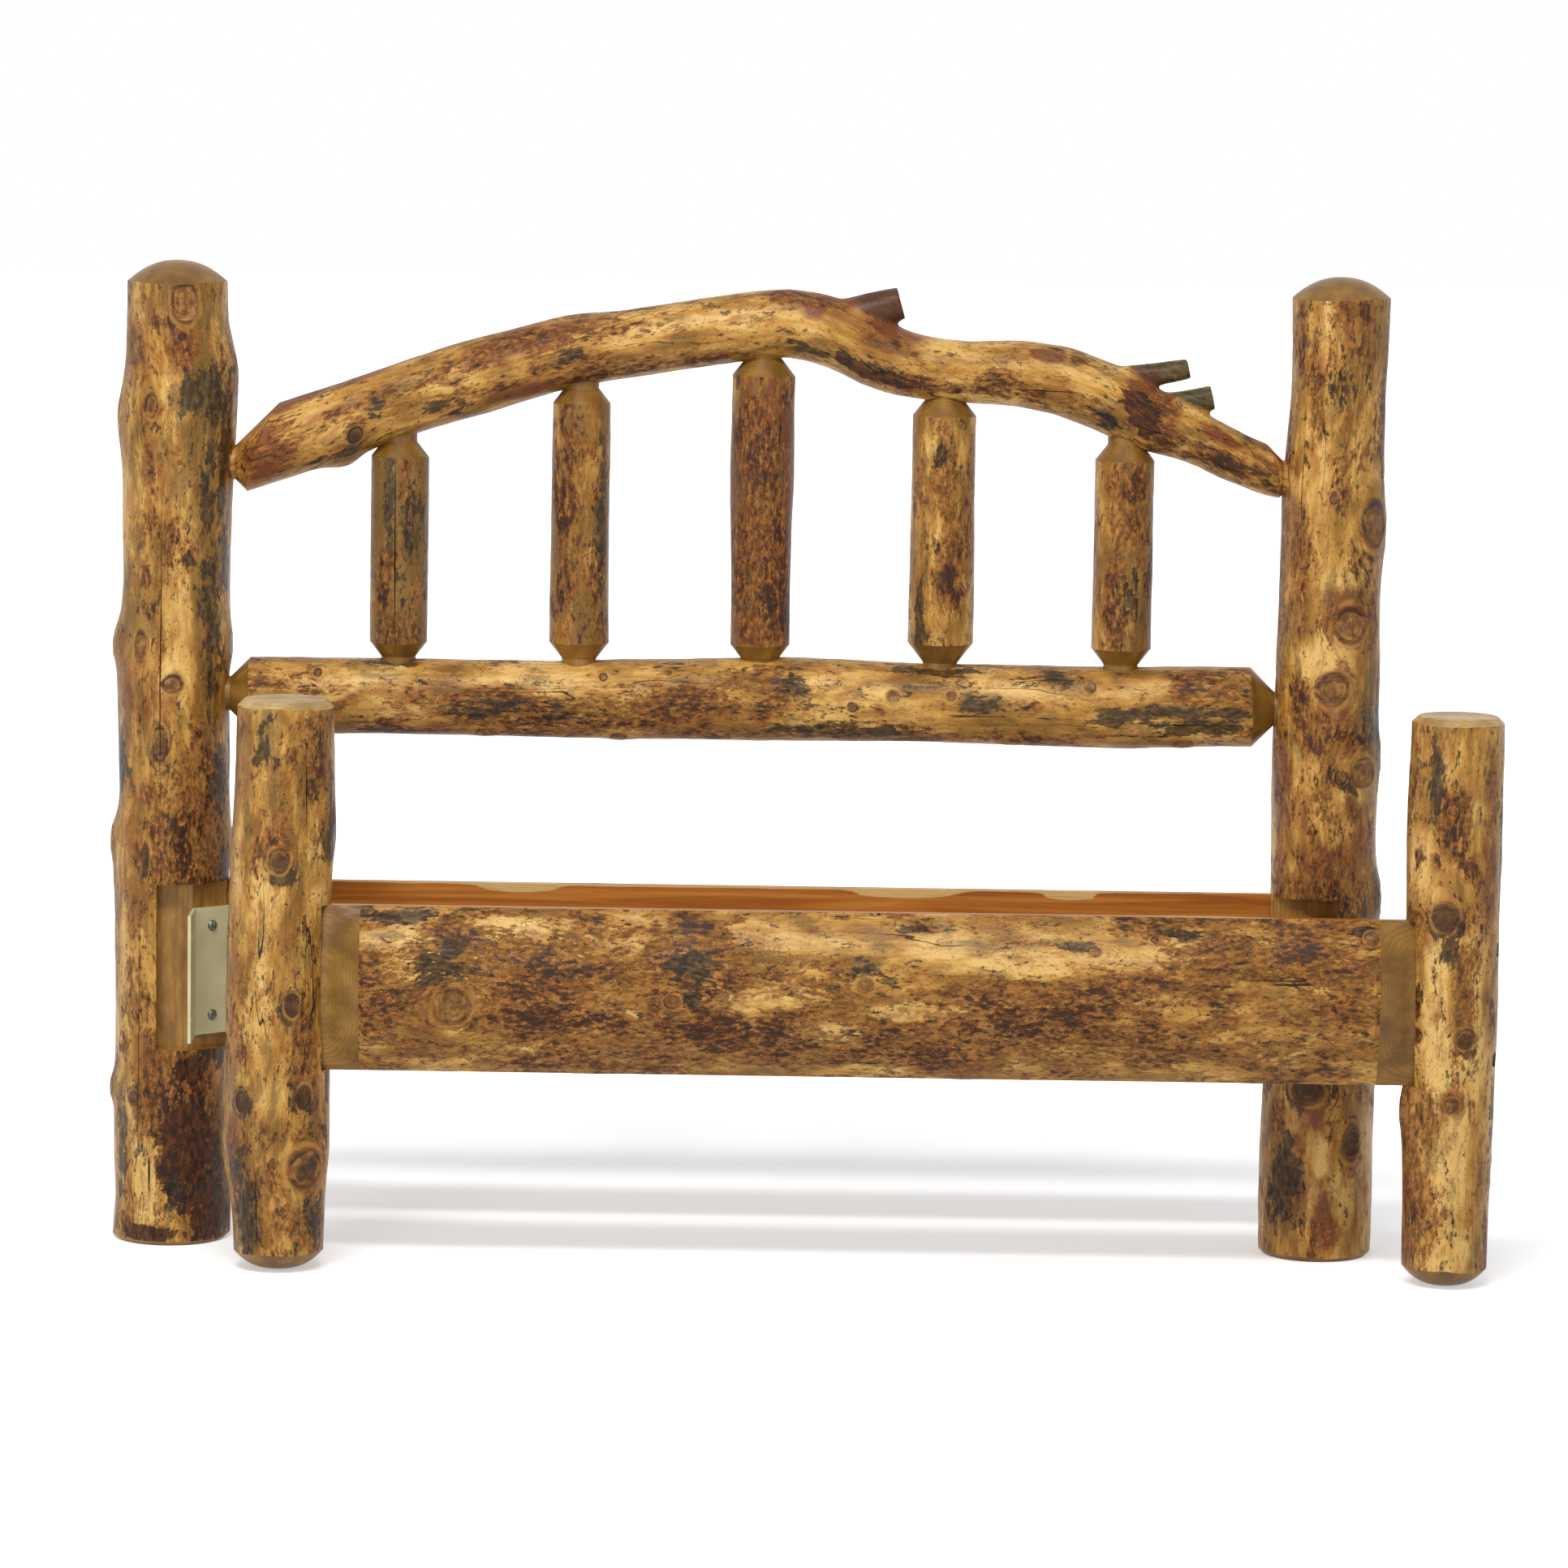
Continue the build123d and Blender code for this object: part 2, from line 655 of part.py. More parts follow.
with BuildPart() as headboard_lower_rail:
    build_half_log(headboard_posts, [lag for lag in headboard_lags if lag[1] != headboard_y])
headboard_lower_rail.part.label = "headboard_lower_rail"
export_step(headboard_lower_rail.part, "parts/headboard_lower_rail.step")

with BuildPart() as footboard_panel:
    build_half_log(footboard_posts, footboard_lags)
footboard_panel.part.label = "footboard_panel"
export_step(footboard_panel.part, "parts/footboard_panel.step")

# ---- Side rail brackets, their bolts and the lag screws ---------------------------------------


def bracket_plan(post):
    """Plan of a bracket: flange end, bend, plate end, and back along the other face."""
    seat = post.seat()
    width = post.plate_width
    ease = BRACKET_THICKNESS * (1 - yaw_sin) / yaw_cos
    step = (BRACKET_THICKNESS * yaw_sin, BRACKET_THICKNESS * yaw_cos)
    return post.plan(
        [
            (RAIL_FACE, seat + BRACKET_FLANGE),
            (RAIL_FACE, seat),
            (RAIL_FACE + width * yaw_cos, seat - width * yaw_sin),
            (RAIL_FACE + width * yaw_cos + step[0], seat - width * yaw_sin + step[1]),
            (RAIL_FACE + step[0] + ease * yaw_cos, seat + step[1] - ease * yaw_sin),
            (RAIL_FACE + BRACKET_THICKNESS, seat + BRACKET_FLANGE),
        ]
    )


def build_bracket(post):
    """Builds a bent steel bracket with its bolt holes and its four rail holes."""
    with BuildSketch(Plane.XY.offset(BRACKET_BOTTOM)) as outline:
        with BuildLine():
            Polyline(bracket_plan(post), close=True)
        make_face()
    extrude(outline.sketch, amount=BRACKET_HEIGHT)
    for z in bolt_heights():
        with BuildSketch(bolt_plane(post, z)) as hole:
            Circle(BOLT_RADIUS + SCREW_CLEARANCE)
        extrude(hole.sketch, amount=2 * BRACKET_THICKNESS, mode=Mode.SUBTRACT)
    hole_x, hole_y = post.plan([(RAIL_FACE, post.seat() + RAIL_HOLE_INSET)])[0]
    rail_side = Plane((hole_x, hole_y, bracket_middle), x_dir=(0, 1, 0), z_dir=(1, 0, 0))
    with BuildSketch(rail_side) as holes:
        with GridLocations(RAIL_HOLE_SPACING_Y, RAIL_HOLE_SPACING_Z, 2, 2):
            Circle(RAIL_HOLE_RADIUS)
    extrude(holes.sketch, amount=2 * BRACKET_THICKNESS, both=True, mode=Mode.SUBTRACT)


for post, name in (
    (headboard_left, "headboard_left_rail_bracket"),
    (headboard_right, "headboard_right_rail_bracket"),
    (footboard_left, "footboard_left_rail_bracket"),
    (footboard_right, "footboard_right_rail_bracket"),
):
    with BuildPart() as rail_bracket:
        build_bracket(post)
    rail_bracket.part.label = name
    export_step(rail_bracket.part, f"parts/{name}.step")


def build_bolt(post, z):
    """Adds a round-headed bolt: its shank in the post and its head on the bracket."""
    seat = bolt_plane(post, z).offset(BRACKET_THICKNESS)
    with BuildSketch(seat) as shank:
        Circle(BOLT_RADIUS)
    extrude(shank.sketch, amount=-(BRACKET_THICKNESS + post.bolt_length))
    with Locations(seat):
        add(dome(BOLT_HEAD_RADIUS, BOLT_HEAD_RISE))


def build_lag(post, y, z):
    """Adds a lag screw with its washer head in the post's outer side."""
    seat = lag_plane(post, y, z)
    with BuildSketch(seat) as shank:
        Circle(LAG_RADIUS)
    extrude(shank.sketch, amount=lag_length(post, z))
    with BuildSketch(seat) as head:
        Circle(LAG_HEAD_RADIUS)
    extrude(head.sketch, amount=-LAG_HEAD_HEIGHT)


for posts, name in (
    (headboard_posts, "headboard_bracket_bolts"),
    (footboard_posts, "footboard_bracket_bolts"),
):
    with BuildPart() as bracket_bolts:
        for post in posts:
            for z in bolt_heights():
                build_bolt(post, z)
    bracket_bolts.part.label = name
    export_step(bracket_bolts.part, f"parts/{name}.step")

for lags, name in (
    (headboard_lags, "headboard_lag_screws"),
    (footboard_lags, "footboard_lag_screws"),
):
    with BuildPart() as lag_screws:
        for post, y, z in lags:
            build_lag(post, y, z)
    lag_screws.part.label = name
    export_step(lag_screws.part, f"parts/{name}.step")
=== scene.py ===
# %% [markdown]
# # A queen log bed, taken down
# The bed is made of peeled pine logs: four posts, a bent crest rail, a straight mid rail, five
# spindles and two half logs. The joiner's model gives the place and the fit of every piece. This
# script gives each log what a joiner's drawing leaves out: the swellings, knots, cracks and scraps
# of inner bark that a peeled log keeps, and the smooth ends that the tenon cutter leaves.
# A log is drawn here as it is in the workshop. It is grown first, knots and all, and then it is
# machined with cutters, so each shoulder, dome and notch meets the wild surface as it falls.

import json
import math
from dataclasses import dataclass, field

import bpy
import numpy as np
from mathutils import Matrix, Vector


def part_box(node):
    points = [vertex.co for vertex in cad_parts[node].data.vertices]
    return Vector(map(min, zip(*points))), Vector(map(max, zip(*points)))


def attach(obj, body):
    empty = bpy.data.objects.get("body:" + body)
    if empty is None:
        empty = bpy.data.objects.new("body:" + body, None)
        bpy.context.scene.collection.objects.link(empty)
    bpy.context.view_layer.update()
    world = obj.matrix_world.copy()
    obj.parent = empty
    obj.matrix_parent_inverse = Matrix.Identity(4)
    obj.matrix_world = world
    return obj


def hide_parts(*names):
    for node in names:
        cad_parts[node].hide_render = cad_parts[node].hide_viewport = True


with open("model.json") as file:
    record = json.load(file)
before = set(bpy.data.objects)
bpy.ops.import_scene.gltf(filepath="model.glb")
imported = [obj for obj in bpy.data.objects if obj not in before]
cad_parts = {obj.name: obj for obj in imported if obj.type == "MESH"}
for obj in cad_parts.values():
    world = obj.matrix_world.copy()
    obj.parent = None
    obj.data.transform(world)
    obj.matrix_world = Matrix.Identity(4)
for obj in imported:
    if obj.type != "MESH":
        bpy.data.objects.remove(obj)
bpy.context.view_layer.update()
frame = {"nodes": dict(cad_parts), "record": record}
nodes = frame["nodes"]
mounts = {mount["name"]: mount for mount in frame["record"]["mounts"]}

# %% [markdown]
# ## Places
# Everything is in metres. The headboard's posts stand on one line and the footboard's on another,
# and both pairs are equally far apart. The seat of a notch is read from the frame's mounts.

# %% Places of the two frames
HEAD_AXIS = (-0.074, 0.105)
FOOT_AXIS = (0.099, -0.115)
HALF_SPACING = 0.8475
HEAD_TOP = 1.445
FOOT_TOP = 0.829
CREST_Z = 1.151
MID_RAIL_Z = 0.811
SLAB_LOW = 0.294
SLAB_HIGH = 0.534
SLAB_MIDDLE = (SLAB_LOW + SLAB_HIGH) / 2
SLAB_THICKNESS = 0.068
SLAB_EDGE = 0.015
SLAB_FLAT_OFFSET = 0.007
TENON_RADIUS = 0.0254

# %% [markdown]
# ## Camera
# The bed is seen from a long way off through a long lens, a little above the headboard's top and
# a little to the left of the middle.

# %% Camera
IMAGE_SIZE = 1932
FOCAL_PIXELS = 8000
CAMERA_PLACE = (-0.0233, -9.3747, 1.886)
CAMERA_PITCH = math.radians(-7.2)
CAMERA_ROLL = math.radians(0.85)

lens = bpy.data.cameras.new("camera")
lens.sensor_fit = "HORIZONTAL"
lens.lens = FOCAL_PIXELS / IMAGE_SIZE * lens.sensor_width
camera = bpy.data.objects.new("camera", lens)
bpy.context.scene.collection.objects.link(camera)
level = Matrix.Rotation(math.radians(90) + CAMERA_PITCH, 4, "X")
roll = Matrix.Rotation(CAMERA_ROLL, 4, "Z")
camera.matrix_world = Matrix.Translation(CAMERA_PLACE) @ level @ roll
bpy.context.scene.camera = camera
print("lens", round(lens.lens, 1), "mm")

# %% [markdown]
# ## Working by hand, in code
# Operators act on whatever is selected, so every step starts by choosing one piece and nothing
# else. Modifiers are applied at once, because the shape has to be final before it is painted.

# %% Small helpers for operators
SUBDIVISIONS = 2


def choose(*pieces):
    """Selects these pieces and nothing else."""
    bpy.ops.object.select_all(action="DESELECT")
    for piece in pieces:
        piece.select_set(True)
    bpy.context.view_layer.objects.active = pieces[0]


def add(primitive, **settings):
    """Adds a primitive mesh with nothing else selected."""
    bpy.ops.object.select_all(action="DESELECT")
    primitive(**settings)
    return bpy.context.object


def apply_modifier(piece, kind, **settings):
    """Adds a modifier with these settings and applies it."""
    choose(piece)
    modifier = piece.modifiers.new(kind.lower(), kind)
    for name, value in settings.items():
        setattr(modifier, name, value)
    bpy.ops.object.modifier_apply(modifier=modifier.name)


def subdivide(piece, **settings):
    """Makes a mesh finer, and smooth unless the settings say otherwise."""
    levels = {"levels": SUBDIVISIONS, "render_levels": SUBDIVISIONS}
    apply_modifier(piece, "SUBSURF", **levels, **settings)


def settle(piece):
    """Puts a piece's place, turn and size into its mesh."""
    choose(piece)
    bpy.ops.object.transform_apply(location=True, rotation=True, scale=True)


def corners(piece):
    """The piece's vertices as an array with one row each."""
    flat = np.empty(len(piece.data.vertices) * 3)
    piece.data.vertices.foreach_get("co", flat)
    return flat.reshape(-1, 3)


# %% [markdown]
# ## A log's own directions
# One set of functions serves posts, which stand up, and rails, which lie along X. A place on a
# log is told by how far along it lies, and by its facing: 0 degrees faces the bed's foot, 90 is
# right on a post or up on a rail, and 180 is the back. A log's form lists where its heart runs
# and how thick it is, as (along, heart's shift to the side, radius).

# %% The Log class


@dataclass
class Log:
    """A natural log: where it stands or lies, its form, its knots and its colouring."""

    name: str
    body: str
    upright: bool
    origin: tuple
    form: list
    knots: list = field(default_factory=list)
    daubs: dict = field(default_factory=dict)
    checks: list = field(default_factory=list)
    tilted: bool = False

    def column(self, number, along):
        stations = [station[0] for station in self.form]
        return np.interp(along, stations, [station[number] for station in self.form])

    def heart(self, along):
        return self.column(1, along)

    def radius(self, along):
        return self.column(2, along)

    def slope(self, along):
        """Angle of the heart, for a log that bends enough to matter."""
        reach = 0.03
        rise = self.heart(along + reach) - self.heart(along - reach)
        return np.arctan2(rise, 2 * reach) * float(self.tilted)

    def point(self, along, side=0.0, depth=0.0):
        """Where a spot given in the log's own directions lies in the room."""
        x, y, z = self.origin
        if self.upright:
            return Vector((x + side, y + depth, z + along))
        return Vector((x + along, y + depth, z + side))

    def measure(self, places):
        """Along, sideways from the heart, and depth, for an array of places in the room."""
        local = places - np.array(self.origin)
        along, side = (local[:, 2], local[:, 0]) if self.upright else (local[:, 0], local[:, 2])
        across = (side - self.heart(along)) * np.cos(self.slope(along))
        return along, across, local[:, 1]


# %% [markdown]
# ## Growing a log
# A log starts as a disc that is extruded a little at a time, moved to where the heart runs and
# resized to the log's girth there. A lathe-like spin would be quicker, but then every log would
# be straight. Two rounds of subdivision turn the rings into a smooth skin with vertices about
# 4 mm apart, which is fine enough to carry a knot's lip.

# %% Drawing a log out of a disc
RING_STEP = 0.016
ROUND_SIDES = 32
SMOOTHING_LOSS = (2 + math.cos(2 * math.pi / ROUND_SIDES)) / 3


def draw_rings(name, rings, sides=ROUND_SIDES, upright=True):
    """Extrudes a disc from ring to ring. A ring is (centre, radius, tilt about Y)."""
    piece = add(bpy.ops.mesh.primitive_circle_add, vertices=sides, radius=1, fill_type="NGON")
    piece.name = name
    if not upright:
        piece.rotation_euler = (0, math.radians(90), 0)
        settle(piece)
    bpy.ops.object.mode_set(mode="EDIT")
    bpy.ops.mesh.select_all(action="SELECT")
    here, size, turn = Vector(), 1.0, 0.0
    for number, (centre, radius, tilt) in enumerate(rings):
        if number == 0:
            bpy.ops.transform.translate(value=centre)
        else:
            step = {"value": centre - here}
            bpy.ops.mesh.extrude_region_move(TRANSFORM_OT_translate=step)
        bpy.ops.transform.resize(value=[radius / size] * 3, center_override=centre)
        if tilt != turn:
            bpy.ops.transform.rotate(value=tilt - turn, orient_axis="Y", center_override=centre)
        here, size, turn = centre, radius, tilt
    bpy.ops.mesh.select_all(action="SELECT")
    bpy.ops.mesh.normals_make_consistent(inside=False)
    bpy.ops.object.mode_set(mode="OBJECT")
    return piece


def grow(log, start, end):
    """Draws a log's smooth natural skin between two places along it."""
    count = max(2, round((end - start) / RING_STEP))
    rings = []
    for along in np.linspace(start, end, count + 1):
        centre = log.point(along, float(log.heart(along)))
        rings.append((centre, float(log.radius(along)) / SMOOTHING_LOSS, float(log.slope(along))))
    piece = draw_rings(f"{log.name}_log", rings, upright=log.upright)
    subdivide(piece)
    return piece


# %% [markdown]
# ## Swellings
# Peeled logs are never round. A Displace modifier with a Clouds texture pushes the skin in and
# out by a few millimetres. The texture is stretched along the log with an empty, because a log's
# hollows and the flats left by the drawknife are long and narrow.

# %% Roughening the skin
swelling = bpy.data.textures.new("swelling", "CLOUDS")
swelling.noise_scale = 0.075
swelling.noise_depth = 1
facets = bpy.data.textures.new("drawknife_facets", "CLOUDS")
facets.noise_scale = 0.016
facets.noise_depth = 1
STRETCH = 3

stretch = bpy.data.objects.new("stretch", None)
bpy.context.scene.collection.objects.link(stretch)


def roughen(piece, upright, swell, facet, **limits):
    """Pushes the skin in and out: broad swellings, then small flats along the grain."""
    stretch.scale = (1, 1, STRETCH) if upright else (STRETCH, 1, 1)
    bpy.context.view_layer.update()
    for texture, strength in ((swelling, swell), (facets, facet)):
        apply_modifier(
            piece,
            "DISPLACE",
            texture=texture,
            texture_coords="OBJECT",
            texture_coords_object=stretch,
            strength=strength,
            **limits,
        )


# %% [markdown]
# ## Knots
# Where a branch grew, the trunk swells, and the sawn branch shows as a low lip around a sunken
# middle. Each knot adds to a height map over the log's skin, and a Displace modifier with a
# vertex group pushes the skin out or in by that height. Painting the group in code does what a
# sculptor does with the Inflate brush.

# %% Raising knots
KNOT_SPREAD = 1.9
LIP_SHARE = 0.35
LIP_WIDTH = 0.25
SINK_WIDTH = 0.35
NO_KNOT = 9.0
LEAST_PUSH = 1e-5


@dataclass
class Knot:
    """A knot: place on the log, half width, how far the wood swells, and how deep it sinks."""

    along: float
    facing: float
    size: float
    swell: float = 0.003
    sink: float = 0.002
    long: float = 1.25


def skin_offsets(measured, along, facing):
    """How far each vertex lies from a spot, along the log and around it."""
    places, across, depth = measured
    angle = np.degrees(np.arctan2(across, -depth)) - facing
    angle = (angle + 180) % 360 - 180
    around = np.radians(angle) * np.hypot(across, depth)
    return places - along, around


def each_knot(log, measured):
    """Every knot, with how far each vertex lies from it in the knot's own sizes."""
    for knot in log.knots:
        du, dv = skin_offsets(measured, knot.along, knot.facing)
        yield knot, np.hypot(du / (knot.size * knot.long), dv / knot.size)


def knot_heights(log, measured):
    """Height of the knots over the skin: a swelling, a low lip and a sunken middle."""
    heights = np.zeros(len(measured[0]))
    for knot, far in each_knot(log, measured):
        heights += knot.swell * np.exp(-((far / KNOT_SPREAD) ** 2))
        heights += LIP_SHARE * knot.sink * np.exp(-(((far - 1) / LIP_WIDTH) ** 2))
        heights -= knot.sink * np.clip((1 - far) / SINK_WIDTH, 0, 1)
    return heights


def knot_nearness(log, measured):
    """How far the nearest knot is, in its own sizes."""
    nearness = np.full(len(measured[0]), NO_KNOT)
    for _, far in each_knot(log, measured):
        nearness = np.minimum(nearness, far)
    return nearness


def push_skin(piece, heights):
    """Moves the skin along its normals by a height for each vertex."""
    for way in (1, -1):
        amount = np.clip(way * heights, 0, None)
        most = float(amount.max())
        if most < LEAST_PUSH:
            continue
        group = piece.vertex_groups.new(name="push")
        for index in np.nonzero(amount > 2 * LEAST_PUSH)[0]:
            group.add([int(index)], float(amount[index]) / most, "REPLACE")
        apply_modifier(piece, "DISPLACE", vertex_group="push", mid_level=0, strength=way * most)
        piece.vertex_groups.remove(piece.vertex_groups["push"])


def raise_knots(piece, log):
    """Gives a grown log its knots."""
    push_skin(piece, knot_heights(log, log.measure(corners(piece))))


# %% [markdown]
# ## Finishes as small recipes
# A material is easier to read as a recipe than as a web of nodes, so this small class adds one
# node, or the few that always go together, for each call. Every pattern reads the log's grain,
# an attribute with one value per vertex that runs along, across and into each log. The same
# recipe then follows a post, a lying rail and the bent crest alike.

# %% A helper that writes material recipes


class Recipe:
    """Builds one material's nodes, call by call."""

    def __init__(self, name, attribute="grain"):
        self.material = bpy.data.materials.new(name)
        self.material.use_nodes = True
        self.nodes = self.material.node_tree.nodes
        self.links = self.material.node_tree.links
        self.shader = self.nodes["Principled BSDF"]
        if attribute:
            self.grain = self.read(attribute, "Vector")
        else:
            self.grain = self.nodes.new("ShaderNodeTexCoord").outputs["Object"]

    def feed(self, sockets, values):
        """Gives each socket a value, a colour or a link from another node."""
        for socket, value in zip(sockets, values):
            if isinstance(value, bpy.types.NodeSocket):
                self.links.new(value, socket)
            else:
                socket.default_value = paint(value) if isinstance(value, str) else value

    def put(self, node, inputs):
        """Feeds a node's inputs by name."""
        self.feed([node.inputs[name] for name in inputs], inputs.values())
        return node

    def read(self, attribute, output="Fac"):
        node = self.nodes.new("ShaderNodeAttribute")
        node.attribute_name = attribute
        return node.outputs[output]

    def stretched(self, scale, shift=(0, 0, 0)):
        """The grain's coordinates, scaled: small along the log makes long marks."""
        node = self.nodes.new("ShaderNodeMapping")
        inputs = {"Vector": self.grain, "Scale": scale, "Location": shift}
        return self.put(node, inputs).outputs["Vector"]

    def noise(self, scale, detail=4.0, roughness=0.55, distortion=0.0, shift=(0, 0, 0)):
        node = self.nodes.new("ShaderNodeTexNoise")
        inputs = {
            "Vector": self.stretched(scale, shift),
            "Scale": 1.0,
            "Detail": detail,
            "Roughness": roughness,
            "Distortion": distortion,
        }
        return self.put(node, inputs).outputs["Fac"]

    def cells(self, scale, shift=(0, 0, 0)):
        node = self.nodes.new("ShaderNodeTexVoronoi")
        inputs = {"Vector": self.stretched(scale, shift), "Scale": 1.0}
        return self.put(node, inputs).outputs["Distance"]

    def calculate(self, kind, first, second=0.0):
        node = self.nodes.new("ShaderNodeMath")
        node.operation = kind
        self.feed(node.inputs, (first, second))
        return node.outputs[0]

    def times(self, first, second):
        return self.calculate("MULTIPLY", first, second)

    def sum(self, first, second, share=1.0):
        """The first, with a share of the second added."""
        if share != 1.0:
            second = self.times(second, share)
        return self.calculate("ADD", first, second)

    def step(self, value, low, high):
        """0 below low, 1 above high, and smooth between them; low may be the larger."""
        node = self.nodes.new("ShaderNodeMapRange")
        node.interpolation_type = "SMOOTHSTEP"
        inputs = {"Value": value, "From Min": low, "From Max": high}
        return self.put(node, inputs).outputs["Result"]

    def ramp(self, value, *stops):
        """Colours by value, each stop being (place, colour)."""
        node = self.nodes.new("ShaderNodeValToRGB")
        elements = node.color_ramp.elements
        while len(elements) < len(stops):
            elements.new(1.0)
        for element, (place, colour) in zip(elements, stops):
            element.position = place
            element.color = paint(colour)
        self.links.new(value, node.inputs["Fac"])
        return node.outputs["Color"]

    def blend(self, share, under, over, kind="MIX"):
        node = self.nodes.new("ShaderNodeMix")
        node.data_type = "RGBA"
        node.blend_type = kind
        self.feed((node.inputs[0], node.inputs[6], node.inputs[7]), (share, under, over))
        return node.outputs[2]

    def lay(self, under, over, value, low, high, most):
        """Lays one colour over another where a value passes from low to high."""
        return self.blend(self.times(self.step(value, low, high), most), under, over)

    def rings(self, scale, wander, rate):
        """Growth rings: a wave that swings with the distance from the heart."""
        radial = self.nodes.new("ShaderNodeVectorMath")
        radial.operation = "LENGTH"
        self.links.new(self.stretched((0, 1, 1)), radial.inputs[0])
        wobble = self.times(self.noise(scale), wander)
        distance = self.sum(radial.outputs["Value"], wobble)
        return self.calculate("SINE", self.times(distance, rate))

    def finish(self, colour, height, bump, roughness, specular=0.5, metallic=0.0):
        """Joins colour, relief and gloss to the shader. Bump is how deep the relief is."""
        relief = self.nodes.new("ShaderNodeBump")
        self.put(relief, {"Height": height, "Distance": bump, "Strength": 1.0})
        inputs = {
            "Base Color": colour,
            "Roughness": roughness,
            "Normal": relief.outputs["Normal"],
            "Specular IOR Level": specular,
            "Metallic": metallic,
        }
        self.put(self.shader, inputs)
        return self.material


def paint(code):
    """A colour written as on a screen, turned to the light values that nodes use."""
    parts = [int(code[i : i + 2], 16) / 255 for i in (1, 3, 5)]
    linear = [p / 12.92 if p <= 0.04045 else ((p + 0.055) / 1.055) ** 2.4 for p in parts]
    return (*linear, 1.0)


# %% [markdown]
# ## Peeled and varnished log
# Peeling a pine log leaves honey-coloured sapwood under thin scraps of inner bark. The recipe
# lays them on in order: pale wood with grain, orange streaks, a film of brown bark broken into
# flecks that run along the log, dark scraps inside it, the lines of beetles, crusts of whole
# bark, grey mould stains, pits, long drying cracks, and the rings of the knots. Attributes
# say where bark and stains lie thick.

# %% Peeled log
KINDS = ("bark", "soot", "pale", "red", "dull", "stem", "crust", "wane")


def peeled_log():
    r = Recipe("varnished_log")
    bark, soot, pale, red, dull, stem, crust = (r.read(name) for name in KINDS[:-1])
    knot = r.read("knot")

    # Sapwood, from olive tan to pale honey, with long streaks of grain.
    broad = r.noise((9, 24, 24), detail=6, roughness=0.60, distortion=0.3)
    tone = r.sum(r.sum(broad, pale, 0.15), dull, -0.10)
    wood = r.ramp(tone, (0.37, "#80602B"), (0.46, "#A88042"), (0.54, "#C69C58"), (0.66, "#E6C588"))
    streak = r.noise((16, 130, 130), detail=5, roughness=0.62, distortion=0.3, shift=(3, 0, 0))
    wood = r.lay(wood, "#976730", streak, 0.50, 0.66, 0.40)
    wood = r.lay(wood, "#DCBC7A", streak, 0.49, 0.35, 0.34)

    # Varnish and inner bark turn patches orange, and mould turns others olive grey.
    warm = r.noise((20, 44, 44), detail=6, roughness=0.62, distortion=0.4, shift=(11, 0, 0))
    warm = r.sum(warm, red, 0.24)
    wood = r.lay(wood, "#965E27", warm, 0.50, 0.64, 0.52)
    wood = r.lay(wood, "#6C3323", warm, 0.62, 0.78, 0.80)
    damp = r.noise((16, 40, 40), detail=6, roughness=0.62, distortion=0.4, shift=(13, 0, 0))
    damp = r.sum(damp, r.sum(r.times(soot, 0.10), dull, 0.16))
    wood = r.lay(wood, "#6E5A34", damp, 0.52, 0.66, 0.60)

    # Inner bark: a soft brown film, thicker scraps within it, and black within those. Where a
    # daub lays it on thick, it breaks up into fine flecks along the grain.
    patches = r.noise((30, 62, 62), detail=6, roughness=0.62, distortion=0.5, shift=(17, 0, 0))
    speckle = r.noise((85, 185, 185), detail=5, roughness=0.70, shift=(19, 0, 0))
    cover = r.noise((9, 21, 21), detail=3, shift=(23, 0, 0))
    flecks = r.times(r.sum(speckle, -0.5), r.sum(0.42, bark, 0.55))
    clumps = r.times(r.sum(patches, -0.5), r.sum(0.85, bark, -0.40))
    film = r.sum(r.sum(clumps, 0.605), cover, 0.75)
    film = r.sum(film, flecks)
    film = r.sum(film, pale, -0.13)
    thin = r.sum(film, bark, 0.205)
    thick = r.sum(film, bark, 0.115)
    mottle = r.noise((70, 140, 140), detail=6, roughness=0.68, shift=(29, 0, 0))
    light_bark = r.ramp(mottle, (0.38, "#573419"), (0.49, "#855529"), (0.60, "#B9844A"))
    dark_bark = r.ramp(mottle, (0.40, "#2C180C"), (0.50, "#4D2B14"), (0.60, "#76451F"))
    colour = r.lay(wood, light_bark, thin, 1.01, 1.09, 0.78)
    colour = r.lay(colour, dark_bark, thick, 1.10, 1.16, 0.86)
    colour = r.lay(colour, "#28170B", thick, 1.18, 1.24, 0.80)

    # Small scraps of bark the size of a thumbnail are left everywhere.
    scraps = r.noise((60, 120, 120), detail=3, roughness=0.6, shift=(37, 0, 0))
    scraps = r.sum(scraps, pale, -0.05)
    colour = r.lay(colour, "#5A301B", scraps, 0.63, 0.68, 0.75)

    # Bark beetles left fine winding lines, and specks of bark pepper the wood.
    winding = r.noise((38, 62, 62), detail=2, roughness=0.5, distortion=1.2, shift=(61, 0, 0))
    winding = r.step(r.calculate("ABSOLUTE", r.sum(winding, -0.5)), 0.012, 0.004)
    spread = r.step(r.noise((12, 20, 20), detail=2, shift=(67, 0, 0)), 0.50, 0.58)
    winding = r.times(winding, spread)
    colour = r.blend(r.times(winding, 0.55), colour, "#6B3C1D")
    pepper = r.step(r.noise((190, 330, 330), detail=2, shift=(71, 0, 0)), 0.63, 0.70)
    colour = r.blend(r.times(pepper, 0.60), colour, "#4B2914")

    # Here and there a crust of whole bark was left, with ragged edges.
    ragged = r.noise((40, 66, 66), detail=7, roughness=0.66, distortion=0.6, shift=(59, 0, 0))
    ragged = r.sum(r.sum(ragged, crust, 0.34), pale, -0.20)
    whole = r.step(ragged, 0.78, 0.81)
    crust_bark = r.ramp(mottle, (0.40, "#22120A"), (0.50, "#3F2212"), (0.60, "#63391B"))
    colour = r.blend(r.times(whole, 0.94), colour, crust_bark)

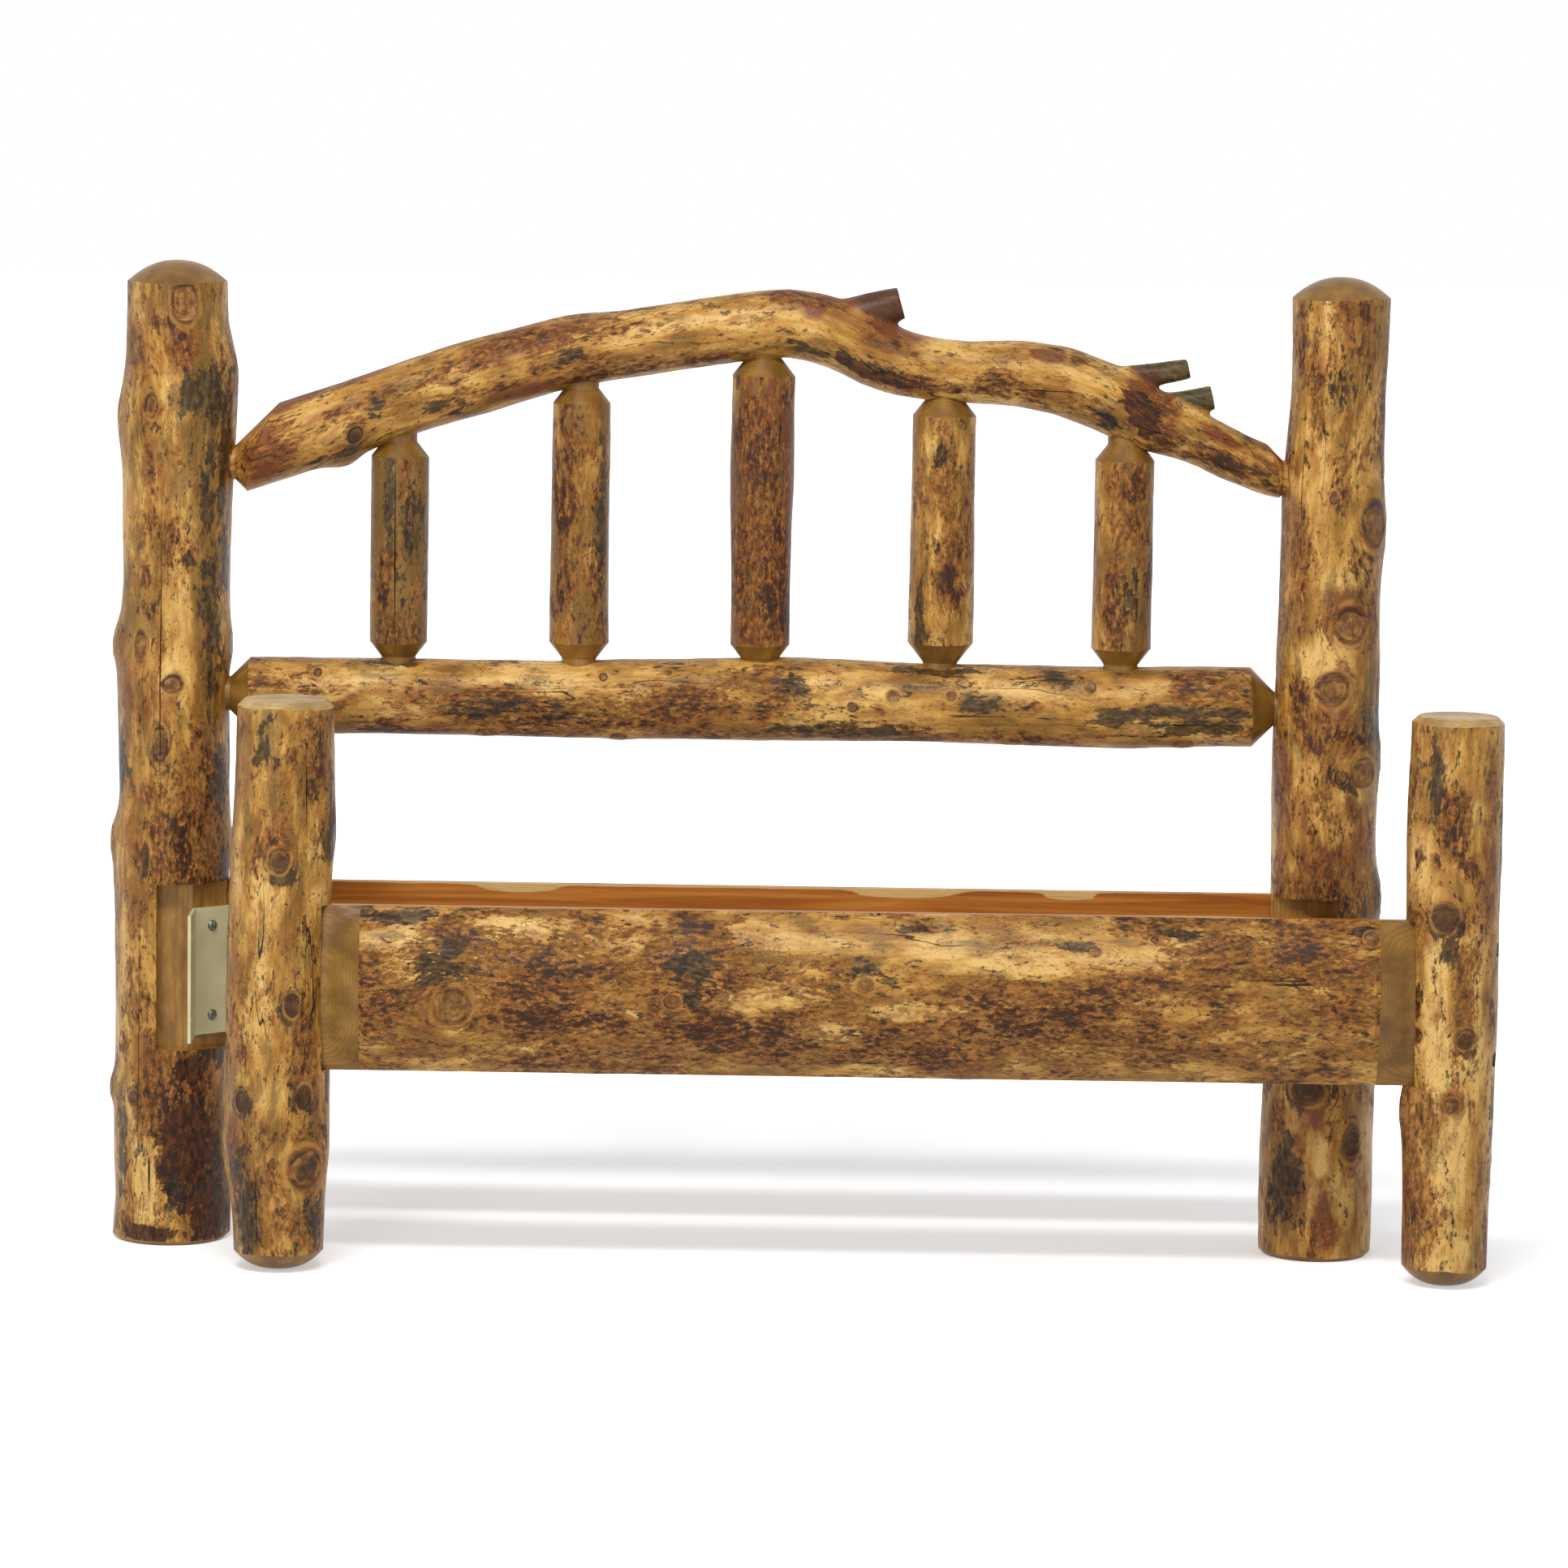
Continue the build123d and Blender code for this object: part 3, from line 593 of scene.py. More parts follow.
    # Mould and pitch stain the wood dark, mostly where a daub says so.
    smoke = r.sum(r.noise((26, 60, 60), detail=4, distortion=0.3, shift=(31, 0, 0)), speckle)
    stain = r.sum(smoke, soot, 0.33)
    grey = r.ramp(mottle, (0.40, "#1B1511"), (0.50, "#34291E"), (0.60, "#5F4D33"))
    colour = r.lay(colour, grey, stain, 1.13, 1.22, 0.88)

    # Sawn branches keep their smooth dark bark.
    scuffs = r.sum(r.times(mottle, 0.5), streak, 0.5)
    tones = (0.40, "#2A2216"), (0.47, "#443B26"), (0.53, "#574C31"), (0.60, "#6F6341")
    twig = r.ramp(scuffs, *tones)
    twig = r.blend(r.times(red, 0.55), twig, "#512C1F")
    colour = r.blend(stem, colour, twig)

    # Beetle pits, and drying cracks that wander along the grain.
    pits = r.step(r.cells((110, 200, 200)), 0.14, 0.07)
    sparse = r.step(r.noise((18, 30, 30), shift=(41, 0, 0)), 0.53, 0.60)
    colour = r.blend(r.times(pits, sparse), colour, "#2A1A12")
    ridge = r.noise((1.6, 26, 26), detail=2, distortion=0.2, shift=(43, 0, 0))
    line = r.step(r.calculate("ABSOLUTE", r.sum(ridge, -0.5)), 0.0035, 0.0012)
    where = r.step(r.noise((3, 9, 9), shift=(47, 0, 0)), 0.52, 0.60)
    crack = r.times(line, where)
    colour = r.blend(crack, colour, "#21150F")

    # Knots: a reddish halo, a rim part pale and part dark, and faint rings round a dull middle.
    uneven = r.noise((34, 48, 48), detail=5, roughness=0.6, shift=(53, 0, 0))
    around = r.sum(r.sum(knot, uneven, 1.1), -0.55)
    colour = r.lay(colour, "#75421F", around, 1.60, 1.00, 0.44)
    ring = r.calculate("SINE", r.times(around, 14.0))
    knot_wood = r.ramp(mottle, (0.38, "#583A22"), (0.50, "#855F38"), (0.62, "#B18753"))
    knot_wood = r.lay(knot_wood, "#4A2D17", ring, 0.0, 1.0, 0.38)
    decay = r.step(r.sum(soot, crust), 0.5, 1.1)
    knot_wood = r.blend(r.times(decay, 0.75), knot_wood, "#2C1D12")
    colour = r.lay(colour, knot_wood, around, 1.02, 0.90, 0.88)
    lip = r.times(r.step(around, 1.00, 1.14), r.step(around, 1.48, 1.22))
    lip = r.times(lip, r.step(uneven, 0.56, 0.46))
    colour = r.blend(r.times(lip, 0.50), colour, "#C79A56")
    rim = r.times(r.step(around, 0.82, 0.96), r.step(around, 1.25, 1.04))
    rim = r.times(rim, r.step(uneven, 0.44, 0.60))
    colour = r.blend(r.times(rim, 0.85), colour, "#2C1A11")

    # Old varnish has yellowed over all of it.
    colour = r.blend(1.0, colour, "#FFF1CE", kind="MULTIPLY")

    fine = r.noise((60, 420, 420), detail=3, shift=(7, 0, 0))
    relief = r.times(r.step(thin, 1.0, 1.2), 0.8)
    marks = ((fine, 0.20), (streak, 0.40), (mottle, 0.60), (crack, -1.6), (whole, 0.9))
    for mark, height in (*marks, (winding, -0.5), (rim, -0.8)):
        relief = r.sum(relief, mark, height)
    gloss = r.sum(0.38, r.step(thin, 1.05, 1.2), 0.12)
    return r.finish(colour, relief, 0.0011, gloss, specular=0.24)


peeled = peeled_log()

# %% [markdown]
# ## Machined wood
# The tenon cutter and the sander leave bare wood that takes up more varnish, so cones, domes and
# trimmed ends are a smooth greenish tan with fine growth rings. Rings are circles round the
# heart, which the grain attribute gives for free.

# %% Turned and sawn wood


def turned_wood(name, *stops):
    """Bare machined wood with fine rings, in the tones given."""
    r = Recipe(name)
    ring = r.rings((20, 40, 40), 0.006, 1900.0)
    tone = r.noise((14, 30, 30), detail=4, shift=(5, 0, 0))
    colour = r.ramp(tone, *stops)
    colour = r.lay(colour, "#694719", ring, 0.1, 0.9, 0.35)
    fibre = r.noise((60, 400, 400), detail=3, shift=(9, 0, 0))
    colour = r.lay(colour, "#83602F", fibre, 0.5, 0.75, 0.5)
    return r.finish(colour, r.times(fibre, 0.3), 0.0003, 0.36, specular=0.3)


def sawn_wood():
    """A sawn flat: long grain, and pale wood along the edges where a daub says so, partly wane and
    partly a painted highlight.
    """
    r = Recipe("sawn_wood")
    wane = r.read("wane")
    grain = r.noise((2.2, 60, 60), detail=4, distortion=0.8)
    colour = r.ramp(grain, (0.34, "#9A5820"), (0.50, "#B6702A"), (0.66, "#CB863D"))
    # Pale wane along the edges, and a painted highlight where a long thin daub runs along an edge.
    edge = r.sum(wane, r.noise((20, 90, 90), detail=4), 0.8)
    colour = r.blend(r.step(edge, 0.95, 1.15), colour, "#D6B273")
    fine = r.noise((20, 500, 500), detail=2, shift=(3, 0, 0))
    colour = r.lay(colour, "#87501F", fine, 0.5, 0.75, 0.4)
    return r.finish(colour, r.times(fine, 0.25), 0.0003, 0.38, specular=0.25)


def sawn_end():
    """A log sawn across, with its growth rings."""
    r = Recipe("end_grain")
    ring = r.rings((0.1, 30, 30), 0.010, 1500.0)
    tone = r.noise((0.1, 25, 25), detail=5, shift=(5, 0, 0))
    colour = r.ramp(tone, (0.36, "#A38350"), (0.50, "#BC9C64"), (0.64, "#CFB37C"))
    colour = r.lay(colour, "#93703C", ring, 0.1, 0.9, 0.35)
    return r.finish(colour, tone, 0.0003, 0.42, specular=0.3)


turned = turned_wood("turned_wood", (0.34, "#6E4C1C"), (0.50, "#876027"), (0.66, "#9F7533"))
notched = turned_wood("notched_wood", (0.34, "#835A22"), (0.50, "#A17433"), (0.66, "#BA8B43"))
sawn = sawn_wood()
end_grain = sawn_end()

# %% [markdown]
# ## Cutters
# A machined end is a body of revolution, so its blank is drawn with the same ring tool and kept
# where it meets the log. The faces that it leaves take the blank's own material, which keeps bark
# off the shoulders. Notches and bores are taken out with blocks and pegs.

# %% Blanks, blocks and pegs
WIDE = 0.14
FINE_SIDES = 96
CHECK_WIDTH = 0.0022
CHECK_CLEAR = 0.012


def blank(name, rings, upright, finish):
    """A turned body that a log is cut down to."""
    piece = draw_rings(name, rings, sides=FINE_SIDES, upright=upright)
    piece.data.materials.append(finish)
    return piece


def block(low, high, finish, turn=0.0, pivot=(0, 0, 0)):
    """A cutter with flat sides, turned about an upright line through the pivot."""
    low, high = Vector(low), Vector(high)
    piece = add(bpy.ops.mesh.primitive_cube_add, size=1, location=(low + high) / 2)
    piece.scale = high - low
    settle(piece)
    about = Matrix.Translation(pivot)
    piece.data.transform(about @ Matrix.Rotation(turn, 4, "Z") @ about.inverted())
    piece.data.materials.append(finish)
    return piece


def peg(start, end, radius, finish):
    """A round cutter from one point to another."""
    start, end = Vector(start), Vector(end)
    piece = add(
        bpy.ops.mesh.primitive_cylinder_add,
        vertices=ROUND_SIDES,
        radius=radius,
        depth=(end - start).length,
        location=(start + end) / 2,
    )
    piece.rotation_euler = (end - start).to_track_quat("Z", "Y").to_euler()
    settle(piece)
    piece.data.materials.append(finish)
    return piece


def joined(pieces):
    """Several cutters that don't touch, as one."""
    choose(*pieces)
    bpy.ops.object.join()
    return pieces[0]


def drying_checks(log, finish):
    """Thin diamond-shaped blades that open cracks; a check is (along, facing, length, depth)."""
    blades = []
    for along, facing, length, depth in log.checks:
        angle = math.radians(facing)
        radius = float(log.radius(along)) + CHECK_CLEAR
        side = float(log.heart(along)) + math.sin(angle) * radius
        blade = add(bpy.ops.mesh.primitive_cylinder_add, vertices=4, radius=1, depth=1)
        blade.scale = (length / 2, CHECK_WIDTH / 2, 2 * (depth + CHECK_CLEAR))
        settle(blade)
        inwards = log.point(0, -math.sin(angle), math.cos(angle)) - log.point(0)
        onwards = log.point(1) - log.point(0)
        turn = Matrix((onwards, inwards.cross(onwards), inwards)).transposed()
        place = log.point(along, side, -math.cos(angle) * radius)
        blade.data.transform(Matrix.Translation(place) @ turn.to_4x4())
        blade.data.materials.append(finish)
        blades.append(blade)
    return joined(blades)


def cut(piece, cutter, operation="DIFFERENCE"):
    """Cuts a piece with a cutter, and throws the cutter away."""
    apply_modifier(
        piece,
        "BOOLEAN",
        object=cutter,
        operation=operation,
        solver="MANIFOLD",
        material_mode="TRANSFER",
    )
    bpy.data.objects.remove(cutter)


# %% [markdown]
# ## Painting the logs
# Last, every vertex learns its grain direction, how near the nearest knot is, and how thick bark,
# stain or clean pale wood lies there. Daubs are soft ovals, and the recipe breaks their edges
# up. Round a knot the grain parts and closes again as water does round a stone.

# %% Painting attributes
KNOT_CORE = 0.1
HEART_CORE = 0.01
DAUB_REACH = 1.4
STEM_FROM = 1.12
STEM_RUN = 0.16
GRAIN_SPREAD = 5
SHARP_ANGLE = math.radians(35)


def store(piece, name, values):
    """Keeps one value, or one vector, for each vertex."""
    vector = values.ndim == 2
    kind = "FLOAT_VECTOR" if vector else "FLOAT"
    attribute = piece.data.attributes.new(name, kind, "POINT")
    attribute.data.foreach_set("vector" if vector else "value", values.astype(np.float32).ravel())


def part_grain(log, measured):
    """Turns the grain sideways round each knot."""
    along, across, depth = measured
    turn = np.zeros(len(along))
    for knot in log.knots:
        du, dv = skin_offsets(measured, knot.along, knot.facing)
        far = np.hypot(du / knot.long, dv) / knot.size
        part = np.minimum(far**2, 1 / np.maximum(far, KNOT_CORE) ** 2)
        turn -= dv * part / np.maximum(np.hypot(across, depth), HEART_CORE)
    cosine, sine = np.cos(turn), np.sin(turn)
    return across * cosine - depth * sine, across * sine + depth * cosine


def colour_log(piece, log, seed):
    """Opens a log's checks, and stores its grain, knots, daubs and branch bark on its vertices."""
    if log.checks:
        cut(piece, drying_checks(log, peeled))
    measured = log.measure(corners(piece))
    across, depth = part_grain(log, measured)
    draws = np.random.default_rng(seed).uniform(-GRAIN_SPREAD, GRAIN_SPREAD, 3)
    shift = draws * np.array([1, 0, 0])
    grain = np.stack([measured[0], across, depth], axis=1) + shift
    store(piece, "grain", grain)
    store(piece, "knot", knot_nearness(log, measured))
    for kind in KINDS:
        amount = np.zeros(len(across))
        for along, facing, length, width, strength in log.daubs.get(kind, ()):
            du, dv = skin_offsets(measured, along, facing)
            inside = np.clip(DAUB_REACH - np.hypot(2 * du / length, 2 * dv / width), 0, 1)
            amount = np.maximum(amount, strength * inside)
        if kind == "stem" and log.tilted:
            away = np.hypot(measured[1], measured[2]) / log.radius(measured[0])
            amount = np.clip((away - STEM_FROM) / STEM_RUN, 0, 1) * (measured[0] > 0)
        store(piece, kind, amount)


def hand_over(piece, log, seed):
    """Colours and shades a machined log, and puts it in the joiner's node's place."""
    colour_log(piece, log, seed)
    choose(piece)
    bpy.ops.object.shade_smooth_by_angle(angle=SHARP_ANGLE)
    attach(piece, log.body)
    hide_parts(log.name)
    low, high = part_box(log.name)
    places = corners(piece)
    beyond = (*(low - Vector(places.min(0))), *(Vector(places.max(0)) - high))
    over = [float(round(v, 4)) for v in beyond]
    print(log.name, len(piece.data.polygons), "faces, beyond the joiner's box by", over)


# %% [markdown]
# ## Posts
# A headboard post has a domed top and a small chamfer round its sawn foot. A footboard post has
# its flat, chamfered end up and its dome on the floor. All four carry a notch for a side rail,
# mortises for the rails, and sockets for the screws that lock the tenons.

# %% The posts' forms
HEAD_LEFT_FORM = [
    (0.000, -0.0025, 0.0870), (0.066, -0.0008, 0.0848), (0.124, -0.0018, 0.0854),
    (0.280, -0.0008, 0.0833), (0.393, -0.0017, 0.0831), (0.467, -0.0021, 0.0839),
    (0.536, -0.0024, 0.0848), (0.600, -0.0019, 0.0838), (0.657, 0.0015, 0.0795),
    (0.727, 0.0010, 0.0810), (0.832, -0.0008, 0.0818), (0.885, 0.0015, 0.0815),
    (0.976, 0.0036, 0.0776), (1.073, 0.0046, 0.0786), (1.130, 0.0061, 0.0804),
    (1.187, 0.0065, 0.0835), (1.223, 0.0075, 0.0845), (1.282, 0.0110, 0.0824),
    (1.308, 0.0099, 0.0796), (1.356, 0.0048, 0.0738), (1.417, 0.0037, 0.0722),
]
HEAD_RIGHT_FORM = [
    (0.000, -0.0002, 0.0830), (0.079, -0.0003, 0.0842), (0.173, -0.0006, 0.0834),
    (0.249, 0.0002, 0.0829), (0.414, 0.0004, 0.0809), (0.534, 0.0005, 0.0785),
    (0.584, -0.0008, 0.0776), (0.693, -0.0007, 0.0780), (0.769, -0.0015, 0.0770),
    (0.853, -0.0010, 0.0759), (0.964, -0.0012, 0.0737), (1.067, 0.0000, 0.0740),
    (1.132, -0.0011, 0.0742), (1.198, 0.0005, 0.0720), (1.270, 0.0032, 0.0702),
    (1.328, 0.0057, 0.0705), (1.412, 0.0060, 0.0716),
]
FOOT_LEFT_FORM = [
    (0.000, 0.0018, 0.0640), (0.054, 0.0010, 0.0665), (0.126, -0.0008, 0.0702),
    (0.168, -0.0026, 0.0764), (0.208, -0.0020, 0.0759), (0.282, 0.0000, 0.0745),
    (0.395, -0.0012, 0.0755), (0.454, 0.0000, 0.0750), (0.550, 0.0015, 0.0735),
    (0.600, 0.0040, 0.0745), (0.660, 0.0070, 0.0742), (0.757, 0.0080, 0.0711),
    (0.829, 0.0083, 0.0688),
]
FOOT_RIGHT_FORM = [
    (0.000, -0.0018, 0.0612), (0.060, -0.0018, 0.0620), (0.137, -0.0023, 0.0634),
    (0.245, -0.0020, 0.0652), (0.300, -0.0023, 0.0644), (0.414, -0.0026, 0.0656),
    (0.541, -0.0037, 0.0670), (0.662, -0.0042, 0.0683), (0.778, -0.0038, 0.0672),
    (0.829, -0.0033, 0.0662),
]
post_forms = (HEAD_LEFT_FORM, HEAD_RIGHT_FORM, FOOT_LEFT_FORM, FOOT_RIGHT_FORM)
print("post stations", [len(form) for form in post_forms])

# %% [markdown]
# A dome was turned with a cutter like a large pencil sharpener, so it is a body of revolution. A
# power of the distance from the middle gives its drop: flat on top and ever steeper towards the
# rim. The footboard's domes are blunter than the headboard's, which takes a higher power.

# %% The posts' blanks: dome, chamfers and body
HEAD_DOME = {"rise": 0.030, "power": 2.2}
FOOT_DOME = {"rise": 0.027, "power": 3.0}
DOME_REACH = 0.086
DOME_STEPS = 18
DOME_TIP = 0.01
BASE_CHAMFER = 0.007
FOOT_TOP_CHAMFER = 0.009


def dome_rings(post, tip, way, rise, power):
    """Rings of a dome from its rim to its tip. It runs on past the post's own girth."""
    radius = float(post.radius(tip - way * rise))
    heart = float(post.heart(tip - way * rise))
    rings = []
    for share in np.linspace(1, DOME_TIP, DOME_STEPS):
        ring = share * DOME_REACH
        drop = rise * (ring / radius) ** power
        rings.append((post.point(tip - way * drop, heart), ring, 0.0))
    return rings


def head_blank(post):
    """Chamfered foot and domed top."""
    foot = float(post.radius(0.0)) - BASE_CHAMFER
    heart = float(post.heart(0.0))
    dome = dome_rings(post, HEAD_TOP, 1, **HEAD_DOME)
    rings = [
        (post.point(0.0, heart), foot, 0.0),
        (post.point(WIDE - foot, heart), WIDE, 0.0),
        (dome[0][0], WIDE, 0.0),
        *dome,
    ]
    return blank("blank", rings, True, turned)


def foot_blank(post):
    """Dome on the floor and a chamfered flat top."""
    top = float(post.radius(FOOT_TOP)) - FOOT_TOP_CHAMFER
    heart = float(post.heart(FOOT_TOP))
    dome = dome_rings(post, 0.0, -1, **FOOT_DOME)
    rings = [
        *dome[::-1],
        (dome[0][0], WIDE, 0.0),
        (post.point(FOOT_TOP - (WIDE - top), heart), WIDE, 0.0),
        (post.point(FOOT_TOP, heart), top, 0.0),
    ]
    return blank("blank", rings, True, turned)


# %% [markdown]
# The notch is the seat of a side rail's end, with a second flat beside it that slants back for
# the bracket. Two blocks cut it: a square one, and one that is turned by the slant.

# %% Notches, mortises and screw sockets
NOTCH_OUTWARD = 0.017
NOTCH_REACH = 0.123
NOTCH_LOW = SLAB_MIDDLE - NOTCH_REACH
NOTCH_HIGH = SLAB_MIDDLE + NOTCH_REACH
RAIL_FACE = 0.034
BRACKET_YAW = math.radians(40)
SOCKET_RADIUS = 0.011
SOCKET_DEPTH = 0.012
MORTISE_DEPTH = 0.0454
SLOT_DEPTH = 0.0264
TONGUE = 0.0302
SLAB_SCREW_SPACING = 0.160
CUT_FAR = 0.3


def cut_notch(piece, post, inward, rails, seat):
    """Cuts the notch. The block sides are given inwards and towards the side rails."""
    x, y = post.origin[:2]

    def plan(a, b):
        return x + inward * a, y + rails * b

    for low, high, turn in (
        ((-NOTCH_OUTWARD, seat), (CUT_FAR, CUT_FAR), 0.0),
        ((RAIL_FACE, seat), (RAIL_FACE + CUT_FAR, CUT_FAR), -inward * rails * BRACKET_YAW),
    ):
        a, b = plan(*low), plan(*high)
        least = (min(a[0], b[0]), min(a[1], b[1]), NOTCH_LOW)
        most = (max(a[0], b[0]), max(a[1], b[1]), NOTCH_HIGH)
        cut(piece, block(least, most, notched, turn, (*plan(RAIL_FACE, seat), 0)))


def bore_post(piece, post, inward, rails, tenon_heights):
    """Bores the mortises and the screw sockets in one go."""
    x, y = post.origin[:2]

    def side(z, way):
        return x + float(post.heart(z)) + way * float(post.radius(z))

    cutters = []
    slab_y = y - rails * (SLAB_FLAT_OFFSET + TONGUE / 2)
    slab_zs = [SLAB_MIDDLE + way * SLAB_SCREW_SPACING / 2 for way in (-1, 1)]
    for screw_y, z in [(y, z) for z in tenon_heights] + [(slab_y, z) for z in slab_zs]:
        seat = side(z, -inward) + inward * SOCKET_DEPTH
        outside = (x - inward * CUT_FAR, screw_y, z)
        cutters.append(peg((seat, screw_y, z), outside, SOCKET_RADIUS, turned))
    for z in tenon_heights:
        end = side(z, inward) - inward * MORTISE_DEPTH
        cutters.append(peg((end, y, z), (x + inward * CUT_FAR, y, z), TENON_RADIUS, turned))
    end = side(SLAB_MIDDLE, inward) - inward * SLOT_DEPTH
    xs = sorted((end, x + inward * CUT_FAR))
    ys = sorted((y - rails * SLAB_FLAT_OFFSET, y - rails * (SLAB_FLAT_OFFSET + TONGUE)))
    cutters.append(block((xs[0], ys[0], SLAB_LOW), (xs[1], ys[1], SLAB_HIGH), turned))
    cut(piece, joined(cutters))


# %% [markdown]
# Each post's knots and daubs are given one by one. A knot gives its place along the post from the
# floor, its facing, half width, swelling, depth and length. Daubs are listed under their kind of
# colouring, each with its place, facing, length, width and strength.

# %% Logs for posts
AXES = {"headboard": HEAD_AXIS, "footboard": FOOT_AXIS}


def post_log(body, side, *details):
    """A frame's left or right post, with its form, knots, daubs and checks."""
    x, y = AXES[body]
    x += HALF_SPACING if side == "right" else -HALF_SPACING
    return Log(f"{body}_{side}_post", body, True, (x, y, 0.0), *details)


# %% [markdown]
# The left headboard post is the wildest log of the bed. It thins below its dome, bulges out
# 1.2 m up, and keeps its darkest bark near the floor.

# %% Left headboard post
HEAD_LEFT_KNOTS = [
    Knot(1.388, 13, 0.0183, 0.0020, 0.0035, 1.62),
    Knot(1.238, -25, 0.0105, 0.0020, 0.0030, 1.70),
    Knot(0.885, -32, 0.0098, 0.0030, 0.0015, 2.43),
    Knot(0.832, 4, 0.0143, 0.0030, 0.0015, 0.91),
    Knot(0.742, -9, 0.0108, 0.0020, 0.0020, 2.42),
    Knot(0.572, -22, 0.0064, 0.0005, 0.0015, 3.70),
    Knot(0.218, -33, 0.0113, 0.0030, 0.0020, 0.94),
    Knot(1.223, -88, 0.0160, 0.0060, 0.0000, 1.60),
    Knot(0.885, -90, 0.0150, 0.0110, 0.0010, 1.20),
    Knot(0.595, -86, 0.0140, 0.0070, 0.0010, 1.20),
    Knot(0.225, -84, 0.0110, 0.0080, 0.0010, 1.00),
    Knot(0.885, 84, 0.0150, 0.0050, 0.0010, 1.40),
    Knot(0.595, 82, 0.0150, 0.0050, 0.0010, 1.20),
    Knot(1.050, 160, 0.0150, 0.0030, 0.0020, 1.30),
    Knot(0.700, 200, 0.0130, 0.0040, 0.0020, 1.20),
    Knot(0.240, 150, 0.0140, 0.0040, 0.0020, 1.20),
]
HEAD_LEFT_DAUBS = {
    "soot": [
        (1.418, 12, 0.022, 0.040, 1.6), (1.396, -1, 0.047, 0.012, 0.9),
        (1.264, 29, 0.066, 0.068, 1.3), (1.244, 15, 0.036, 0.044, 1.1),
        (1.237, 42, 0.071, 0.057, 1.1), (1.119, 39, 0.154, 0.040, 0.8),
        (1.013, 17, 0.024, 0.025, 0.9), (1.000, 39, 0.031, 0.037, 1.0),
        (0.947, 37, 0.052, 0.030, 0.8), (1.165, 58, 0.237, 0.036, 1.0),
        (1.009, 70, 0.142, 0.041, 1.0), (0.714, -75, 0.107, 0.077, 1.0),
        (0.742, -9, 0.071, 0.036, 0.8), (0.844, 6, 0.014, 0.036, 0.8),
        (0.881, 48, 0.213, 0.046, 0.6), (0.688, 63, 0.107, 0.052, 1.0),
        (0.572, -22, 0.066, 0.015, 1.2), (0.559, 77, 0.071, 0.059, 1.2),
        (0.079, 8, 0.060, 0.050, 0.9), (0.100, 62, 0.142, 0.050, 0.9),
        (0.293, 51, 0.059, 0.075, 1.3), (0.133, -53, 0.154, 0.028, 1.0),
        (0.217, -35, 0.040, 0.035, 0.9), (1.100, 200, 0.300, 0.080, 0.8),
    ],
    "bark": [
        (1.326, 8, 0.090, 0.031, 1.2), (1.013, 3, 0.107, 0.047, 0.8),
        (1.237, -22, 0.047, 0.025, 0.9), (0.632, 23, 0.071, 0.077, 0.8),
        (0.366, -37, 0.130, 0.044, 0.7), (0.237, 8, 0.178, 0.108, 1.3),
        (0.127, 29, 0.201, 0.149, 0.8), (0.037, 54, 0.071, 0.141, 0.8),
        (0.022, -29, 0.031, 0.081, 1.0), (0.700, 170, 0.500, 0.150, 0.6),
        (0.150, 190, 0.250, 0.200, 1.1), (0.610, 25, 0.300, 0.120, 1.0),
    ],
    "red": [
        (1.332, 8, 0.100, 0.040, 1.6), (1.329, -50, 0.142, 0.067, 0.7),
        (1.130, -26, 0.154, 0.060, 0.5), (1.267, -90, 0.119, 0.041, 0.6),
        (0.800, -59, 0.119, 0.069, 1.0), (0.800, -2, 0.071, 0.071, 0.5),
        (0.643, 37, 0.071, 0.074, 0.8), (0.272, -9, 0.107, 0.072, 0.8),
        (0.400, 160, 0.300, 0.100, 0.6), (0.560, -35, 0.260, 0.070, 0.6),
    ],
    "pale": [
        (1.264, -1, 0.055, 0.040, 1.2), (1.224, 6, 0.026, 0.024, 1.2),
        (1.080, -57, 0.178, 0.064, 0.8), (0.484, -52, 0.213, 0.051, 0.7),
        (0.084, -21, 0.080, 0.036, 2.0), (0.138, -26, 0.050, 0.050, 0.9),
        (0.930, 10, 0.260, 0.070, 0.5),
    ],
    "crust": [
        (0.150, 24, 0.180, 0.120, 1.35), (0.085, 36, 0.110, 0.090, 1.35),
        (0.105, 2, 0.070, 0.080, 1.2), (0.262, 24, 0.050, 0.050, 1.5),
        (0.318, 50, 0.045, 0.050, 1.4), (0.700, -72, 0.120, 0.050, 1.1),
        (0.040, 58, 0.090, 0.120, 1.4), (0.018, -20, 0.034, 0.150, 1.3),
    ],
    "dull": [
        (1.150, 30, 0.500, 0.090, 0.9), (0.950, -45, 0.300, 0.060, 0.5),
        (1.380, 20, 0.100, 0.140, 0.8), (0.500, -60, 0.200, 0.050, 0.4),
    ],
}
HEAD_LEFT_CHECKS = [
    (0.860, -9, 0.560, 0.012), (0.300, -30, 0.300, 0.008), (0.800, 150, 0.700, 0.015),
]
head_left = post_log(
    "headboard", "left", HEAD_LEFT_FORM, HEAD_LEFT_KNOTS, HEAD_LEFT_DAUBS, HEAD_LEFT_CHECKS
)

# %% [markdown]
# The right headboard post is straighter. It tapers evenly upwards, with a row of large knots.

